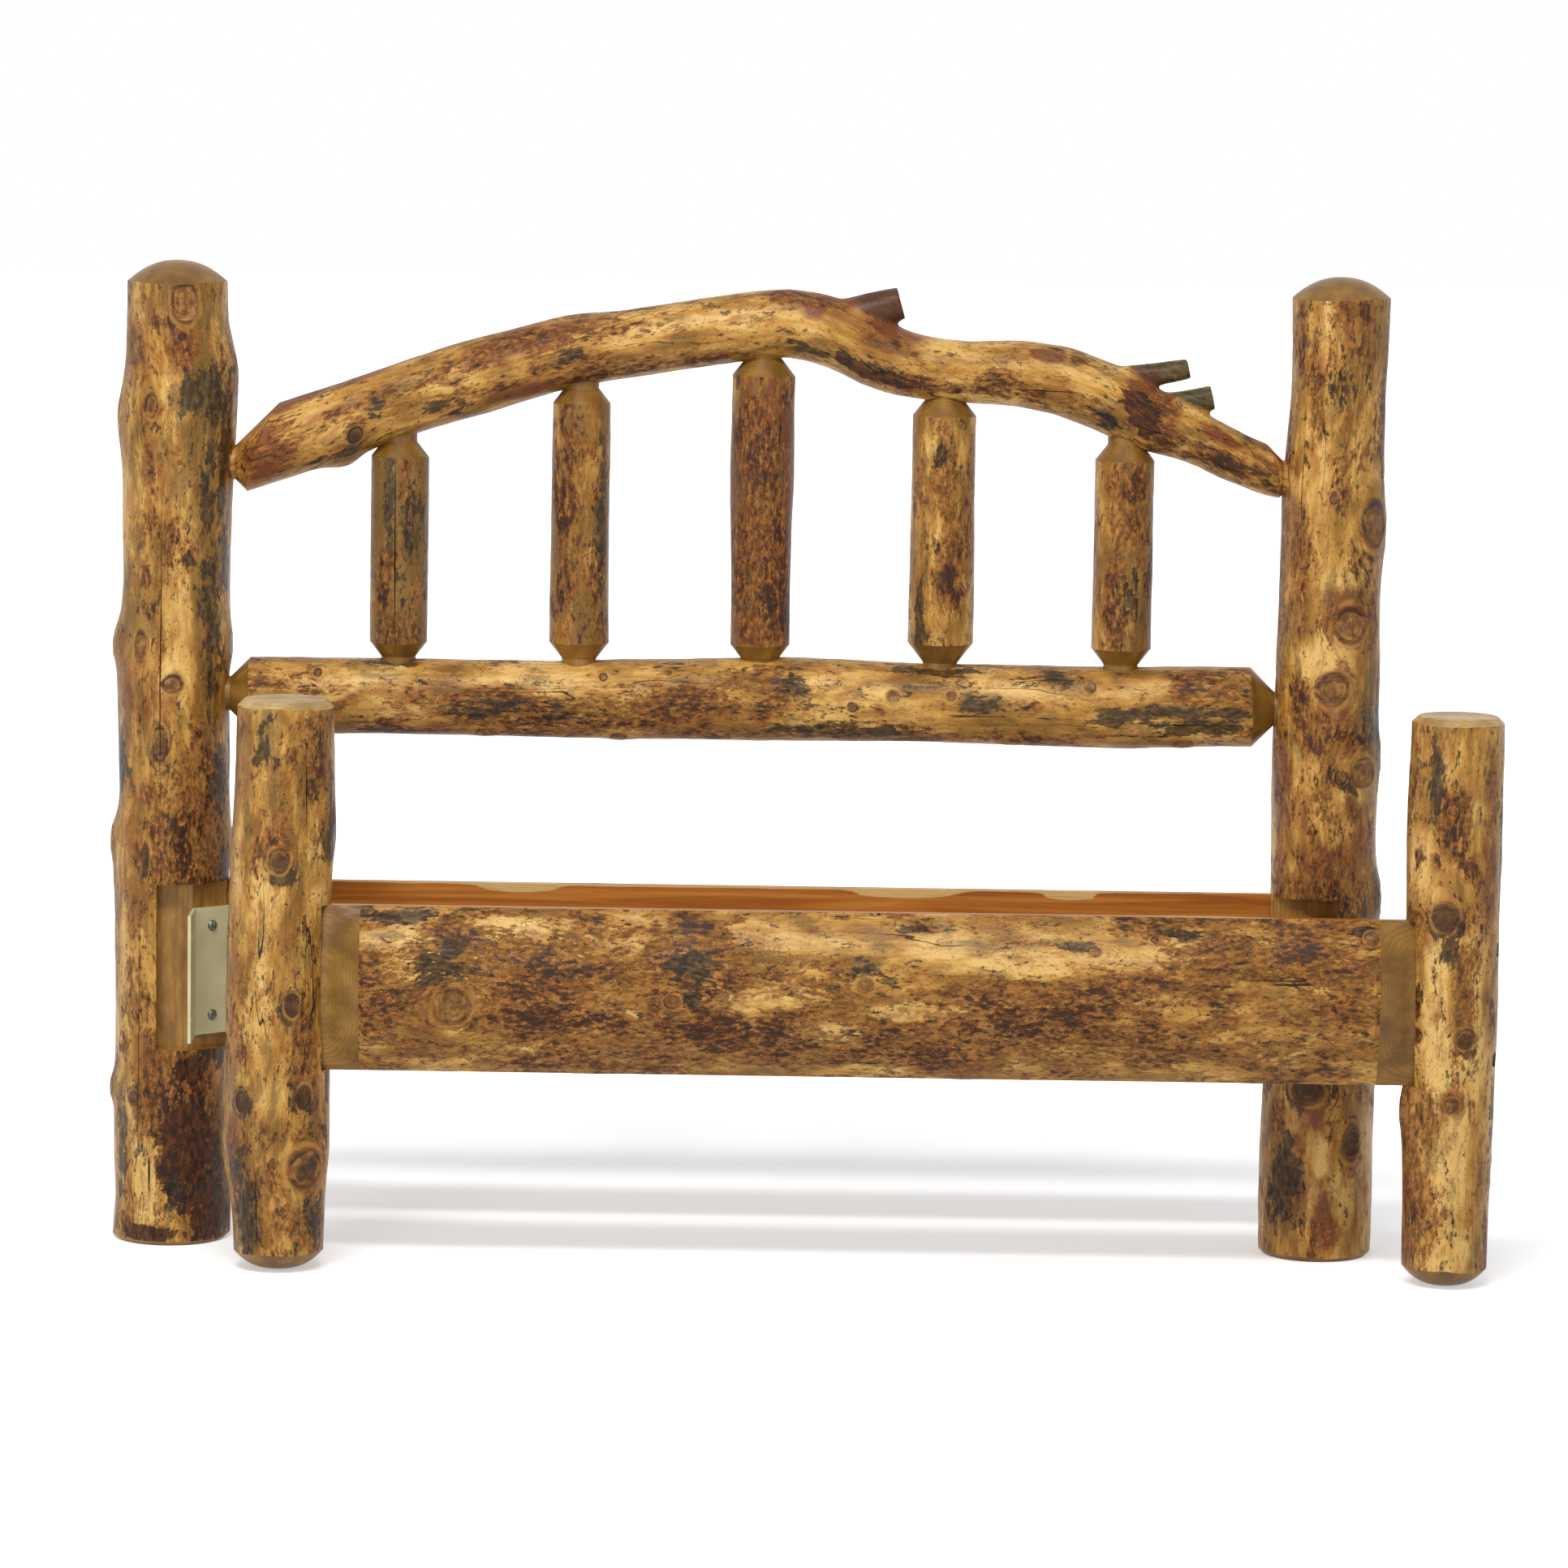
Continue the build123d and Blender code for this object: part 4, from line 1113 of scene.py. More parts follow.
# %% Right headboard post
HEAD_RIGHT_KNOTS = [
    Knot(1.128, -3, 0.0059, 0.0010, 0.0020, 1.60),
    Knot(1.090, 48, 0.0246, 0.0060, 0.0020, 1.35),
    Knot(0.942, 20, 0.0253, 0.0030, 0.0020, 1.03),
    Knot(0.849, 1, 0.0225, 0.0030, 0.0015, 1.05),
    Knot(0.725, 39, 0.0228, 0.0050, 0.0020, 0.94),
    Knot(0.719, 12, 0.0097, 0.0015, 0.0015, 1.10),
    Knot(0.255, -15, 0.0220, 0.0030, 0.0020, 0.86),
    Knot(0.178, 32, 0.0154, 0.0030, 0.0025, 1.69),
    Knot(1.075, 84, 0.0150, 0.0040, 0.0010, 1.60),
    Knot(0.744, 86, 0.0150, 0.0050, 0.0010, 1.30),
    Knot(0.534, 84, 0.0170, 0.0090, 0.0010, 1.30),
    Knot(0.900, 190, 0.0150, 0.0030, 0.0020, 1.20),
    Knot(0.350, 170, 0.0140, 0.0040, 0.0020, 1.30),
    Knot(1.200, 205, 0.0120, 0.0030, 0.0020, 1.20),
]
HEAD_RIGHT_DAUBS = {
    "bark": [
        (1.250, 72, 0.300, 0.040, 1.0), (1.000, -76, 0.500, 0.040, 1.1),
        (1.397, -3, 0.071, 0.052, 0.8), (1.273, -28, 0.130, 0.035, 1.0),
        (1.353, -65, 0.095, 0.044, 0.9), (1.297, -14, 0.237, 0.110, 0.3),
        (1.023, -44, 0.190, 0.043, 0.8), (0.937, -6, 0.071, 0.021, 1.1),
        (0.941, 52, 0.071, 0.035, 1.0), (0.834, -38, 0.095, 0.030, 0.9),
        (0.764, 27, 0.071, 0.093, 0.9), (0.657, -15, 0.154, 0.110, 0.6),
        (0.540, -5, 0.150, 0.150, 1.0), (0.214, -48, 0.059, 0.053, 0.9),
        (0.151, 33, 0.047, 0.039, 1.1), (0.088, -39, 0.119, 0.067, 0.9),
        (0.050, 12, 0.059, 0.061, 0.8), (0.800, 190, 0.500, 0.150, 0.6),
        (0.200, 200, 0.200, 0.200, 0.8),
    ],
    "crust": [
        (0.770, 74, 0.240, 0.040, 1.0), (0.548, 72, 0.110, 0.050, 1.1),
        (1.300, -6, 0.060, 0.030, 0.9),
    ],
    "soot": [
        (1.128, -3, 0.036, 0.019, 0.8), (1.286, -2, 0.071, 0.036, 0.8),
        (0.786, 52, 0.071, 0.077, 0.7), (0.717, 10, 0.036, 0.072, 0.8),
        (0.540, 90, 0.083, 0.071, 1.3), (0.526, -5, 0.040, 0.178, 0.8),
        (0.255, -15, 0.047, 0.069, 1.2), (0.178, 32, 0.071, 0.034, 1.2),
        (0.118, -40, 0.130, 0.062, 1.1), (0.400, 160, 0.250, 0.080, 0.9),
    ],
    "pale": [
        (1.202, -23, 0.190, 0.065, 0.8), (1.026, 0, 0.095, 0.047, 0.7),
        (0.892, -24, 0.059, 0.065, 1.3), (0.110, 12, 0.170, 0.055, 0.9),
        (0.153, 2, 0.130, 0.047, 1.0), (0.131, 76, 0.190, 0.089, 0.8),
        (1.100, 180, 0.300, 0.100, 0.7),
    ],
    "red": [
        (1.021, 82, 0.261, 0.059, 0.9), (1.094, -52, 0.213, 0.031, 0.8),
        (0.973, 19, 0.055, 0.105, 1.1), (0.807, 2, 0.047, 0.071, 0.9),
        (0.676, -57, 0.261, 0.044, 0.8), (0.632, 43, 0.142, 0.098, 0.6),
        (0.150, -30, 0.180, 0.060, 0.6), (0.560, 10, 0.200, 0.130, 0.8),
        (0.222, -15, 0.071, 0.061, 1.2), (0.068, 5, 0.107, 0.043, 1.3),
    ],
    "dull": [
        (0.420, 0, 0.120, 0.200, 0.8), (1.080, 55, 0.120, 0.040, 1.0),
        (0.830, 40, 0.100, 0.050, 0.9),
    ],
}
HEAD_RIGHT_CHECKS = [(1.150, -42, 0.300, 0.006), (0.900, 175, 0.900, 0.015)]
head_right = post_log(
    "headboard", "right", HEAD_RIGHT_FORM, HEAD_RIGHT_KNOTS, HEAD_RIGHT_DAUBS, HEAD_RIGHT_CHECKS
)

# %% [markdown]
# The left footboard post is the thicker one of its pair. It narrows towards its dome on the
# floor, and its upper half leans a little to the right.

# %% Left footboard post
FOOT_LEFT_KNOTS = [
    Knot(0.605, 1, 0.0142, 0.0020, 0.0020, 1.17),
    Knot(0.260, 34, 0.0115, 0.0020, 0.0020, 1.45),
    Knot(0.252, -38, 0.0105, 0.0020, 0.0020, 1.35),
    Knot(0.395, 20, 0.0101, 0.0015, 0.0020, 1.65),
    Knot(0.155, 39, 0.0273, 0.0020, 0.0020, 1.04),
    Knot(0.630, 82, 0.0140, 0.0030, 0.0010, 1.30),
    Knot(0.170, -84, 0.0170, 0.0040, 0.0010, 1.30),
    Knot(0.400, 200, 0.0140, 0.0030, 0.0020, 1.20),
    Knot(0.700, 160, 0.0120, 0.0030, 0.0020, 1.20),
]
FOOT_LEFT_DAUBS = {
    "soot": [
        (0.260, 34, 0.050, 0.040, 1.5), (0.252, -38, 0.046, 0.034, 1.5),
        (0.395, 18, 0.048, 0.036, 1.5), (0.586, 8, 0.045, 0.036, 1.5),
        (0.773, -21, 0.071, 0.025, 0.9), (0.599, 2, 0.036, 0.040, 1.2),
        (0.755, 37, 0.142, 0.039, 0.5), (0.395, 20, 0.047, 0.025, 1.2),
        (0.259, 34, 0.052, 0.031, 1.2), (0.252, -38, 0.040, 0.027, 1.2),
        (0.154, 48, 0.055, 0.021, 1.3), (0.152, -47, 0.071, 0.046, 0.9),
        (0.076, -38, 0.130, 0.051, 1.0), (0.079, 60, 0.071, 0.048, 0.8),
        (0.629, 70, 0.071, 0.059, 0.9), (0.200, 200, 0.150, 0.080, 0.9),
    ],
    "crust": [
        (0.150, 34, 0.030, 0.020, 1.5), (0.640, 78, 0.100, 0.040, 1.1),
        (0.300, 74, 0.160, 0.025, 1.0),
    ],
    "bark": [
        (0.626, -5, 0.047, 0.048, 1.0), (0.744, 37, 0.190, 0.045, 0.8),
        (0.491, 21, 0.036, 0.038, 0.9), (0.377, -7, 0.028, 0.029, 0.8),
        (0.397, -32, 0.071, 0.028, 0.7), (0.106, -36, 0.166, 0.059, 0.8),
        (0.082, 47, 0.083, 0.069, 1.1), (0.322, 30, 0.142, 0.055, 1.0),
        (0.500, 180, 0.300, 0.120, 0.7),
    ],
    "red": [
        (0.623, 1, 0.071, 0.071, 0.8), (0.199, -53, 0.071, 0.039, 1.2),
        (0.558, -9, 0.237, 0.048, 0.3),
    ],
    "pale": [
        (0.499, -18, 0.308, 0.075, 0.7), (0.288, 2, 0.130, 0.052, 0.6),
    ],
    "dull": [
        (0.230, -5, 0.160, 0.070, 0.7), (0.120, -30, 0.160, 0.060, 1.0),
        (0.700, 0, 0.200, 0.100, 0.4),
    ],
}
FOOT_LEFT_CHECKS = [(0.100, -22, 0.150, 0.010), (0.690, 30, 0.180, 0.005)]
foot_left = post_log(
    "footboard", "left", FOOT_LEFT_FORM, FOOT_LEFT_KNOTS, FOOT_LEFT_DAUBS, FOOT_LEFT_CHECKS
)

# %% [markdown]
# The right footboard post is slim and pale, with scraps of bark along its right side.

# %% Right footboard post
FOOT_RIGHT_KNOTS = [
    Knot(0.547, -14, 0.0183, 0.0030, 0.0020, 1.17),
    Knot(0.540, -56, 0.0148, 0.0010, 0.0015, 0.80),
    Knot(0.699, -9, 0.0060, 0.0010, 0.0010, 0.99),
    Knot(0.372, -53, 0.0117, 0.0010, 0.0015, 0.91),
    Knot(0.370, 14, 0.0147, 0.0020, 0.0015, 0.97),
    Knot(0.273, -2, 0.0095, 0.0015, 0.0015, 1.12),
    Knot(0.255, -80, 0.0150, 0.0070, 0.0010, 1.30),
    Knot(0.167, 84, 0.0140, 0.0010, 0.0010, 1.30),
    Knot(0.500, 180, 0.0140, 0.0030, 0.0020, 1.20),
    Knot(0.150, 200, 0.0120, 0.0030, 0.0020, 1.20),
]
FOOT_RIGHT_DAUBS = {
    "crust": [
        (0.640, 74, 0.280, 0.024, 1.2), (0.530, -6, 0.050, 0.050, 1.1),
        (0.366, 12, 0.035, 0.032, 1.2), (0.250, 66, 0.160, 0.024, 1.0),
    ],
    "soot": [
        (0.738, -30, 0.130, 0.033, 1.0), (0.537, -13, 0.059, 0.056, 1.3),
        (0.502, -10, 0.043, 0.029, 1.2), (0.372, -53, 0.028, 0.027, 1.0),
        (0.351, 11, 0.028, 0.024, 1.2), (0.650, 190, 0.150, 0.080, 0.8),
    ],
    "pale": [
        (0.720, 22, 0.140, 0.045, 0.7), (0.399, -21, 0.320, 0.042, 1.8),
        (0.193, -1, 0.180, 0.070, 1.4), (0.300, 20, 0.200, 0.060, 0.7),
        (0.060, 0, 0.120, 0.080, 1.4), (0.625, -50, 0.119, 0.074, 0.6),
    ],
    "red": [
        (0.699, -9, 0.036, 0.029, 1.0), (0.641, 46, 0.261, 0.027, 1.2),
        (0.273, -2, 0.040, 0.036, 1.4), (0.161, -66, 0.308, 0.058, 0.8),
    ],
    "bark": [
        (0.688, -3, 0.095, 0.071, 0.9), (0.542, -56, 0.047, 0.051, 1.1),
        (0.531, 13, 0.047, 0.029, 1.1), (0.418, 11, 0.261, 0.053, 1.0),
        (0.273, -2, 0.036, 0.031, 1.3), (0.165, -46, 0.237, 0.102, 0.8),
        (0.110, 1, 0.119, 0.071, 0.8), (0.400, 170, 0.300, 0.120, 0.7),
    ],
}
FOOT_RIGHT_CHECKS = [(0.420, 165, 0.500, 0.012)]
foot_right = post_log(
    "footboard", "right", FOOT_RIGHT_FORM, FOOT_RIGHT_KNOTS, FOOT_RIGHT_DAUBS, FOOT_RIGHT_CHECKS
)

# %% [markdown]
# A post is grown past both its ends, cut down to its blank, notched and bored. It is painted
# last, because every cut makes new vertices. Each call says which way is inwards, which way the
# side rails lie, and at what heights tenons come in.

# %% Making the posts
OVERSHOOT = 0.02
POST_SWELL = 0.006
POST_FACET = 0.0016
END_GRAIN_REACH = 0.003


def weather(piece, log, swell, facet):
    """Gives a smooth log its swellings, flats and knots, in peeled wood."""
    roughen(piece, log.upright, swell, facet)
    raise_knots(piece, log)
    piece.data.materials.clear()
    piece.data.materials.append(peeled)


def show_end_grain(piece, height):
    """Gives the machined faces above a height the colour of end grain."""
    piece.data.materials.append(end_grain)
    cut_faces = piece.data.materials.find(turned.name)
    for face in piece.data.polygons:
        if face.material_index == cut_faces and face.center.z > height:
            face.material_index = len(piece.data.materials) - 1


def make_post(post, inward, rails, top, shape, tenon_heights, seed):
    """Grows, machines and paints a post."""
    piece = grow(post, -OVERSHOOT, top + OVERSHOOT)
    weather(piece, post, POST_SWELL, POST_FACET)
    cut(piece, shape(post), "INTERSECT")
    mount = mounts[post.name.replace("_post", "_rail_seat")]
    seat = abs(mount["pos_m"][1] - post.origin[1])
    cut_notch(piece, post, inward, rails, seat)
    bore_post(piece, post, inward, rails, tenon_heights)
    if top == FOOT_TOP:
        show_end_grain(piece, top - FOOT_TOP_CHAMFER - END_GRAIN_REACH)
    hand_over(piece, post, seed)


make_post(head_left, 1, -1, HEAD_TOP, head_blank, (CREST_Z, MID_RAIL_Z), 1)
make_post(head_right, -1, -1, HEAD_TOP, head_blank, (CREST_Z, MID_RAIL_Z), 2)
make_post(foot_left, 1, 1, FOOT_TOP, foot_blank, (), 3)
make_post(foot_right, -1, 1, FOOT_TOP, foot_blank, (), 4)

# %% [markdown]
# ## Rails and spindles
# A rail's ends are turned down to two-inch tenons behind a steep shoulder, and a spindle's ends
# to the same tenons behind a slimmer one. The joiner's node ends where the tenon does, so the
# shoulder is measured from there. A spindle's upper tenon is shorter than its lower one, because
# its shoulder comes closer to the crest rail.

# %% Blanks with a tenon at each end
RAIL_TENON = 0.048
RAIL_SHOULDER_SLOPE = math.radians(45)
SPINDLE_COUNT = 5
SPINDLE_TENON = 0.042
SPINDLE_TOP_TENON = 0.032
SPINDLE_SHOULDER_SLOPE = math.radians(38)
BORE_GAP = 0.0002
BORE_REACH = 0.11


def tenon_blank(log, low, high, tenon, slope, wide, finish, far_tenon):
    """A cylinder with a cone and a tenon at each end, between two places along a log."""
    run = (wide - TENON_RADIUS) / math.tan(slope)
    rings = [
        (low, TENON_RADIUS),
        (low + tenon, TENON_RADIUS),
        (low + tenon + run, wide),
        (high - far_tenon - run, wide),
        (high - far_tenon, TENON_RADIUS),
        (high, TENON_RADIUS),
    ]
    return blank("blank", [(log.point(s), radius, 0.0) for s, radius in rings], log.upright, finish)


def machine_ends(piece, log, tenon, slope, wide=WIDE, finish=turned, far_tenon=None):
    """Turns both ends of a log to fit the joiner's node of the same name."""
    axis = 2 if log.upright else 0
    low, high = (corner[axis] - log.origin[axis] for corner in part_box(log.name))
    far_tenon = far_tenon or tenon
    cut(piece, tenon_blank(log, low, high, tenon, slope, wide, finish, far_tenon), "INTERSECT")


def spindle_bores(end, way):
    """Pegs for the holes that take the spindles' upper or lower tenons."""
    pegs = []
    for number in range(1, SPINDLE_COUNT + 1):
        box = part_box(f"spindle_{number}")
        x = (box[0].x + box[1].x) / 2
        mouth = (x, HEAD_AXIS[1], box[end].z - way * BORE_GAP)
        outside = (x, HEAD_AXIS[1], mouth[2] + way * BORE_REACH)
        pegs.append(peg(mouth, outside, TENON_RADIUS + BORE_GAP, turned))
    return joined(pegs)


# %% [markdown]
# The mid rail is nearly straight and thickens to the right.

# %% Mid rail
MID_RAIL_FORM = [
    (-0.850, -0.002, 0.0545), (-0.600, -0.001, 0.0550), (-0.400, -0.001, 0.0555),
    (-0.281, -0.001, 0.0560), (-0.150, 0.001, 0.0590), (0.041, 0.004, 0.0615),
    (0.148, 0.003, 0.0600), (0.241, 0.001, 0.0585), (0.395, -0.001, 0.0590),
    (0.560, -0.002, 0.0605), (0.687, 0.001, 0.0595), (0.850, 0.001, 0.0590),
]
MID_RAIL_KNOTS = [
    Knot(-0.633, 43, 0.0081, 0.0010, 0.0015, 0.73),
    Knot(-0.216, 40, 0.0077, 0.0010, 0.0015, 0.77),
    Knot(-0.121, 47, 0.0052, 0.0010, 0.0015, 0.91),
    Knot(0.209, 14, 0.0098, 0.0015, 0.0020, 0.97),
    Knot(0.496, 36, 0.0103, 0.0015, 0.0015, 0.81),
    Knot(0.149, -4, 0.0071, 0.0010, 0.0015, 1.00),
    Knot(0.293, 17, 0.0074, 0.0010, 0.0015, 0.96),
    Knot(-0.389, -54, 0.0101, 0.0050, 0.0000, 1.18),
    Knot(-0.193, -59, 0.0114, 0.0050, 0.0000, 1.04),
    Knot(0.383, -54, 0.0101, 0.0050, 0.0000, 1.41),
    Knot(0.634, -55, 0.0105, 0.0050, 0.0000, 1.36),
    Knot(0.300, 170, 0.0120, 0.0030, 0.0020, 1.20),
    Knot(-0.350, 200, 0.0120, 0.0030, 0.0020, 1.20),
]
MID_RAIL_DAUBS = {
    "soot": [
        (-0.530, 73, 0.095, 0.036, 0.9), (-0.385, -9, 0.142, 0.036, 0.9),
        (-0.278, -20, 0.071, 0.038, 0.8), (0.065, 25, 0.047, 0.078, 0.7),
        (0.137, -41, 0.237, 0.032, 0.9), (0.335, 4, 0.066, 0.036, 1.0),
        (0.267, 61, 0.119, 0.029, 1.1), (0.445, 51, 0.071, 0.045, 0.8),
        (0.623, -1, 0.237, 0.021, 1.2), (0.659, -23, 0.190, 0.026, 1.2),
        (0.534, -9, 0.071, 0.036, 1.1), (-0.400, 200, 0.300, 0.060, 0.9),
    ],
    "bark": [
        (-0.361, -19, 0.308, 0.058, 1.0), (-0.159, -16, 0.237, 0.057, 1.0),
        (-0.065, -2, 0.190, 0.059, 0.8), (0.006, 18, 0.119, 0.075, 0.7),
        (0.682, 31, 0.142, 0.083, 0.8), (0.090, -52, 0.593, 0.031, 1.2),
        (-0.386, -59, 0.356, 0.028, 1.2), (0.200, 180, 0.700, 0.080, 0.8),
    ],
    "pale": [
        (0.148, 27, 0.190, 0.048, 0.7), (0.397, 27, 0.190, 0.040, 0.7),
        (-0.588, 55, 0.190, 0.046, 0.8), (-0.268, 52, 0.237, 0.042, 0.7),
    ],
    "red": [(-0.504, -2, 0.190, 0.047, 0.4)],
}
mid_rail = Log(
    "mid_rail",
    "headboard",
    False,
    (*HEAD_AXIS, MID_RAIL_Z),
    MID_RAIL_FORM,
    MID_RAIL_KNOTS,
    MID_RAIL_DAUBS,
    [(0.640, -20, 0.200, 0.008), (0.560, -38, 0.160, 0.006), (0.100, 120, 0.900, 0.012)],
)
HALF_LOG_REACH = 0.85
RAIL_SWELL = 0.005
RAIL_FACET = 0.0014

piece = grow(mid_rail, -HALF_LOG_REACH, HALF_LOG_REACH)
weather(piece, mid_rail, RAIL_SWELL, RAIL_FACET)
machine_ends(piece, mid_rail, RAIL_TENON, RAIL_SHOULDER_SLOPE)
cut(piece, spindle_bores(0, 1))
hand_over(piece, mid_rail, 5)

# %% [markdown]
# The crest rail is one bent trunk. It climbs from the left to a fork, where a sawn branch stands
# up, and falls away to the right past two more. Its rings tilt with the slope of the heart.
# Branches are joined on with a union, and a voxel remesh with a little smoothing grows the
# collars where they meet the trunk.

# %% Crest rail
CREST_FORM = [
    (-0.850, -0.0235, 0.0540), (-0.691, 0.0318, 0.0546), (-0.580, 0.0718, 0.0544),
    (-0.486, 0.1058, 0.0534), (-0.400, 0.1318, 0.0541), (-0.300, 0.1618, 0.0526),
    (-0.222, 0.1768, 0.0496), (-0.119, 0.1928, 0.0496), (-0.020, 0.2088, 0.0506),
    (0.044, 0.2158, 0.0506), (0.090, 0.2098, 0.0516), (0.130, 0.1958, 0.0506),
    (0.176, 0.1725, 0.0486), (0.215, 0.1585, 0.0466), (0.255, 0.1515, 0.0456),
    (0.310, 0.1475, 0.0446), (0.389, 0.1465, 0.0481), (0.450, 0.1365, 0.0506),
    (0.513, 0.1130, 0.0506), (0.570, 0.0840, 0.0466), (0.643, 0.0580, 0.0386),
    (0.705, 0.0280, 0.0366), (0.760, 0.0060, 0.0361), (0.850, -0.0040, 0.0345),
]
# Each branch: (along, height, radius) from inside the trunk to past its sawn end, where it is
# sawn, and the girth of the saw's cut.
BRANCHES = [
    (
        [
            (0.040, 0.196, 0.043), (0.100, 0.214, 0.034),
            (0.152, 0.231, 0.0265), (0.235, 0.254, 0.0265),
        ],
        0.211,
        0.040,
    ),
    (
        [
            (0.455, 0.126, 0.021), (0.530, 0.144, 0.018),
            (0.583, 0.147, 0.0165), (0.655, 0.163, 0.0160),
        ],
        0.632,
        0.020,
    ),
    (
        [
            (0.540, 0.088, 0.026), (0.604, 0.102, 0.020),
            (0.640, 0.109, 0.0175), (0.695, 0.121, 0.0175),
        ],
        0.668,
        0.024,
    ),
]
BRANCH_SETBACK = -0.006
CREST_VOXEL = 0.0042
COLLAR_SMOOTHING = {"factor": 0.5, "iterations": 6}
SAW_REACH = 0.08
CREST_BLANK = 0.33
CREST_KNOTS = [
    Knot(-0.580, -26, 0.0119, 0.0020, 0.0020, 0.90),
    Knot(-0.598, -90, 0.0178, 0.0110, 0.0000, 0.80),
    Knot(-0.262, 88, 0.0180, 0.0045, 0.0000, 1.20),
    Knot(-0.250, 190, 0.0120, 0.0030, 0.0020, 1.20),
    Knot(0.350, 170, 0.0120, 0.0030, 0.0020, 1.20),
]
CREST_DAUBS = {
    "bark": [
        (-0.343, 42, 0.190, 0.060, 1.0), (0.060, 62, 0.140, 0.040, 1.1),
        (-0.683, 1, 0.071, 0.071, 0.9), (-0.367, 40, 0.071, 0.037, 0.8),
        (-0.248, -21, 0.119, 0.031, 1.1), (-0.131, -49, 0.237, 0.022, 1.1),
        (0.224, -32, 0.142, 0.028, 1.0), (0.295, -30, 0.119, 0.016, 1.0),
        (0.353, -6, 0.059, 0.031, 1.3), (0.478, -27, 0.083, 0.040, 1.0),
        (0.591, 23, 0.059, 0.090, 1.3), (0.687, -22, 0.095, 0.026, 1.0),
        (0.747, -18, 0.047, 0.050, 0.9), (0.000, 185, 0.500, 0.080, 0.8),
    ],
    "crust": [
        (0.170, -36, 0.170, 0.034, 1.3), (0.562, 8, 0.075, 0.085, 1.15),
        (0.510, -34, 0.060, 0.030, 1.1),
    ],
    "soot": [
        (-0.580, -26, 0.031, 0.034, 1.0), (-0.590, -50, 0.052, 0.026, 0.9),
        (-0.552, 7, 0.028, 0.029, 1.1), (-0.466, -26, 0.036, 0.021, 1.1),
        (-0.272, -2, 0.047, 0.019, 1.0), (0.070, -38, 0.071, 0.021, 1.2),
        (0.138, -35, 0.052, 0.038, 0.6), (0.181, -31, 0.071, 0.041, 0.6),
        (0.514, -32, 0.036, 0.034, 1.2), (0.450, 190, 0.200, 0.060, 0.9),
    ],
    "red": [
        (-0.687, 83, 0.119, 0.065, 1.7), (-0.605, 90, 0.213, 0.053, 1.4),
        (-0.707, -9, 0.071, 0.084, 1.4), (-0.343, 39, 0.142, 0.046, 2.0),
        (-0.343, -42, 0.142, 0.032, 1.3), (-0.439, -90, 0.237, 0.036, 1.2),
        (0.051, 60, 0.059, 0.033, 1.9), (0.086, 41, 0.036, 0.032, 1.6),
        (0.424, 45, 0.047, 0.024, 1.9), (0.579, 33, 0.071, 0.099, 2.2),
        (0.674, 26, 0.071, 0.026, 1.4), (0.748, 89, 0.047, 0.089, 1.3),
        (-0.500, 170, 0.300, 0.070, 1.3), (0.170, 90, 0.160, 0.120, 1.7),
    ],
    "pale": [
        (-0.460, 2, 0.166, 0.043, 0.2), (-0.154, 11, 0.237, 0.060, 0.2),
        (-0.037, 12, 0.190, 0.061, 0.2), (0.258, 46, 0.190, 0.075, 0.2),
        (0.412, 7, 0.130, 0.043, 0.2), (0.152, 43, 0.071, 0.074, 0.2),
        (0.639, 56, 0.071, 0.076, 0.2),
    ],
}
crest = Log(
    "crest_rail",
    "headboard",
    False,
    (*HEAD_AXIS, CREST_Z),
    CREST_FORM,
    CREST_KNOTS,
    CREST_DAUBS,
    [(0.420, -20, 0.120, 0.006)],
    tilted=True,
)


def grow_branch(stations):
    """Draws one branch, with its rings across its own direction."""
    rings = []
    for number, (along, height, radius) in enumerate(stations):
        before = stations[max(number - 1, 0)]
        after = stations[min(number + 1, len(stations) - 1)]
        tilt = math.atan2(after[1] - before[1], after[0] - before[0])
        rings.append((crest.point(along, height, BRANCH_SETBACK), radius, tilt))
    branch = draw_rings("branch", rings, upright=False)
    subdivide(branch)
    return branch


def saw_branch(piece, stations, end, girth):
    """Saws a branch off square at a place along it."""
    last, tip = stations[-2:]
    tilt = math.atan2(tip[1] - last[1], tip[0] - last[0])
    height = last[1] + (end - last[0]) * math.tan(tilt)
    face = crest.point(end, height, BRANCH_SETBACK)
    way = Vector((math.cos(tilt), 0, math.sin(tilt)))
    cut(piece, peg(face, face + way * SAW_REACH, girth, end_grain))


piece = grow(crest, -HALF_LOG_REACH, HALF_LOG_REACH)
for stations, end, girth in BRANCHES:
    cut(piece, grow_branch(stations), "UNION")
apply_modifier(piece, "REMESH", mode="VOXEL", voxel_size=CREST_VOXEL)
apply_modifier(piece, "SMOOTH", **COLLAR_SMOOTHING)
weather(piece, crest, RAIL_SWELL, RAIL_FACET)
for stations, end, girth in BRANCHES:
    saw_branch(piece, stations, end, girth)
machine_ends(piece, crest, RAIL_TENON, RAIL_SHOULDER_SLOPE, CREST_BLANK, peeled)
cut(piece, spindle_bores(1, -1))
hand_over(piece, crest, 6)

# %% [markdown]
# The five spindles are short logs of much the same girth. Their forms list how far along from
# the lower end, as a share of the length, and the girth there.

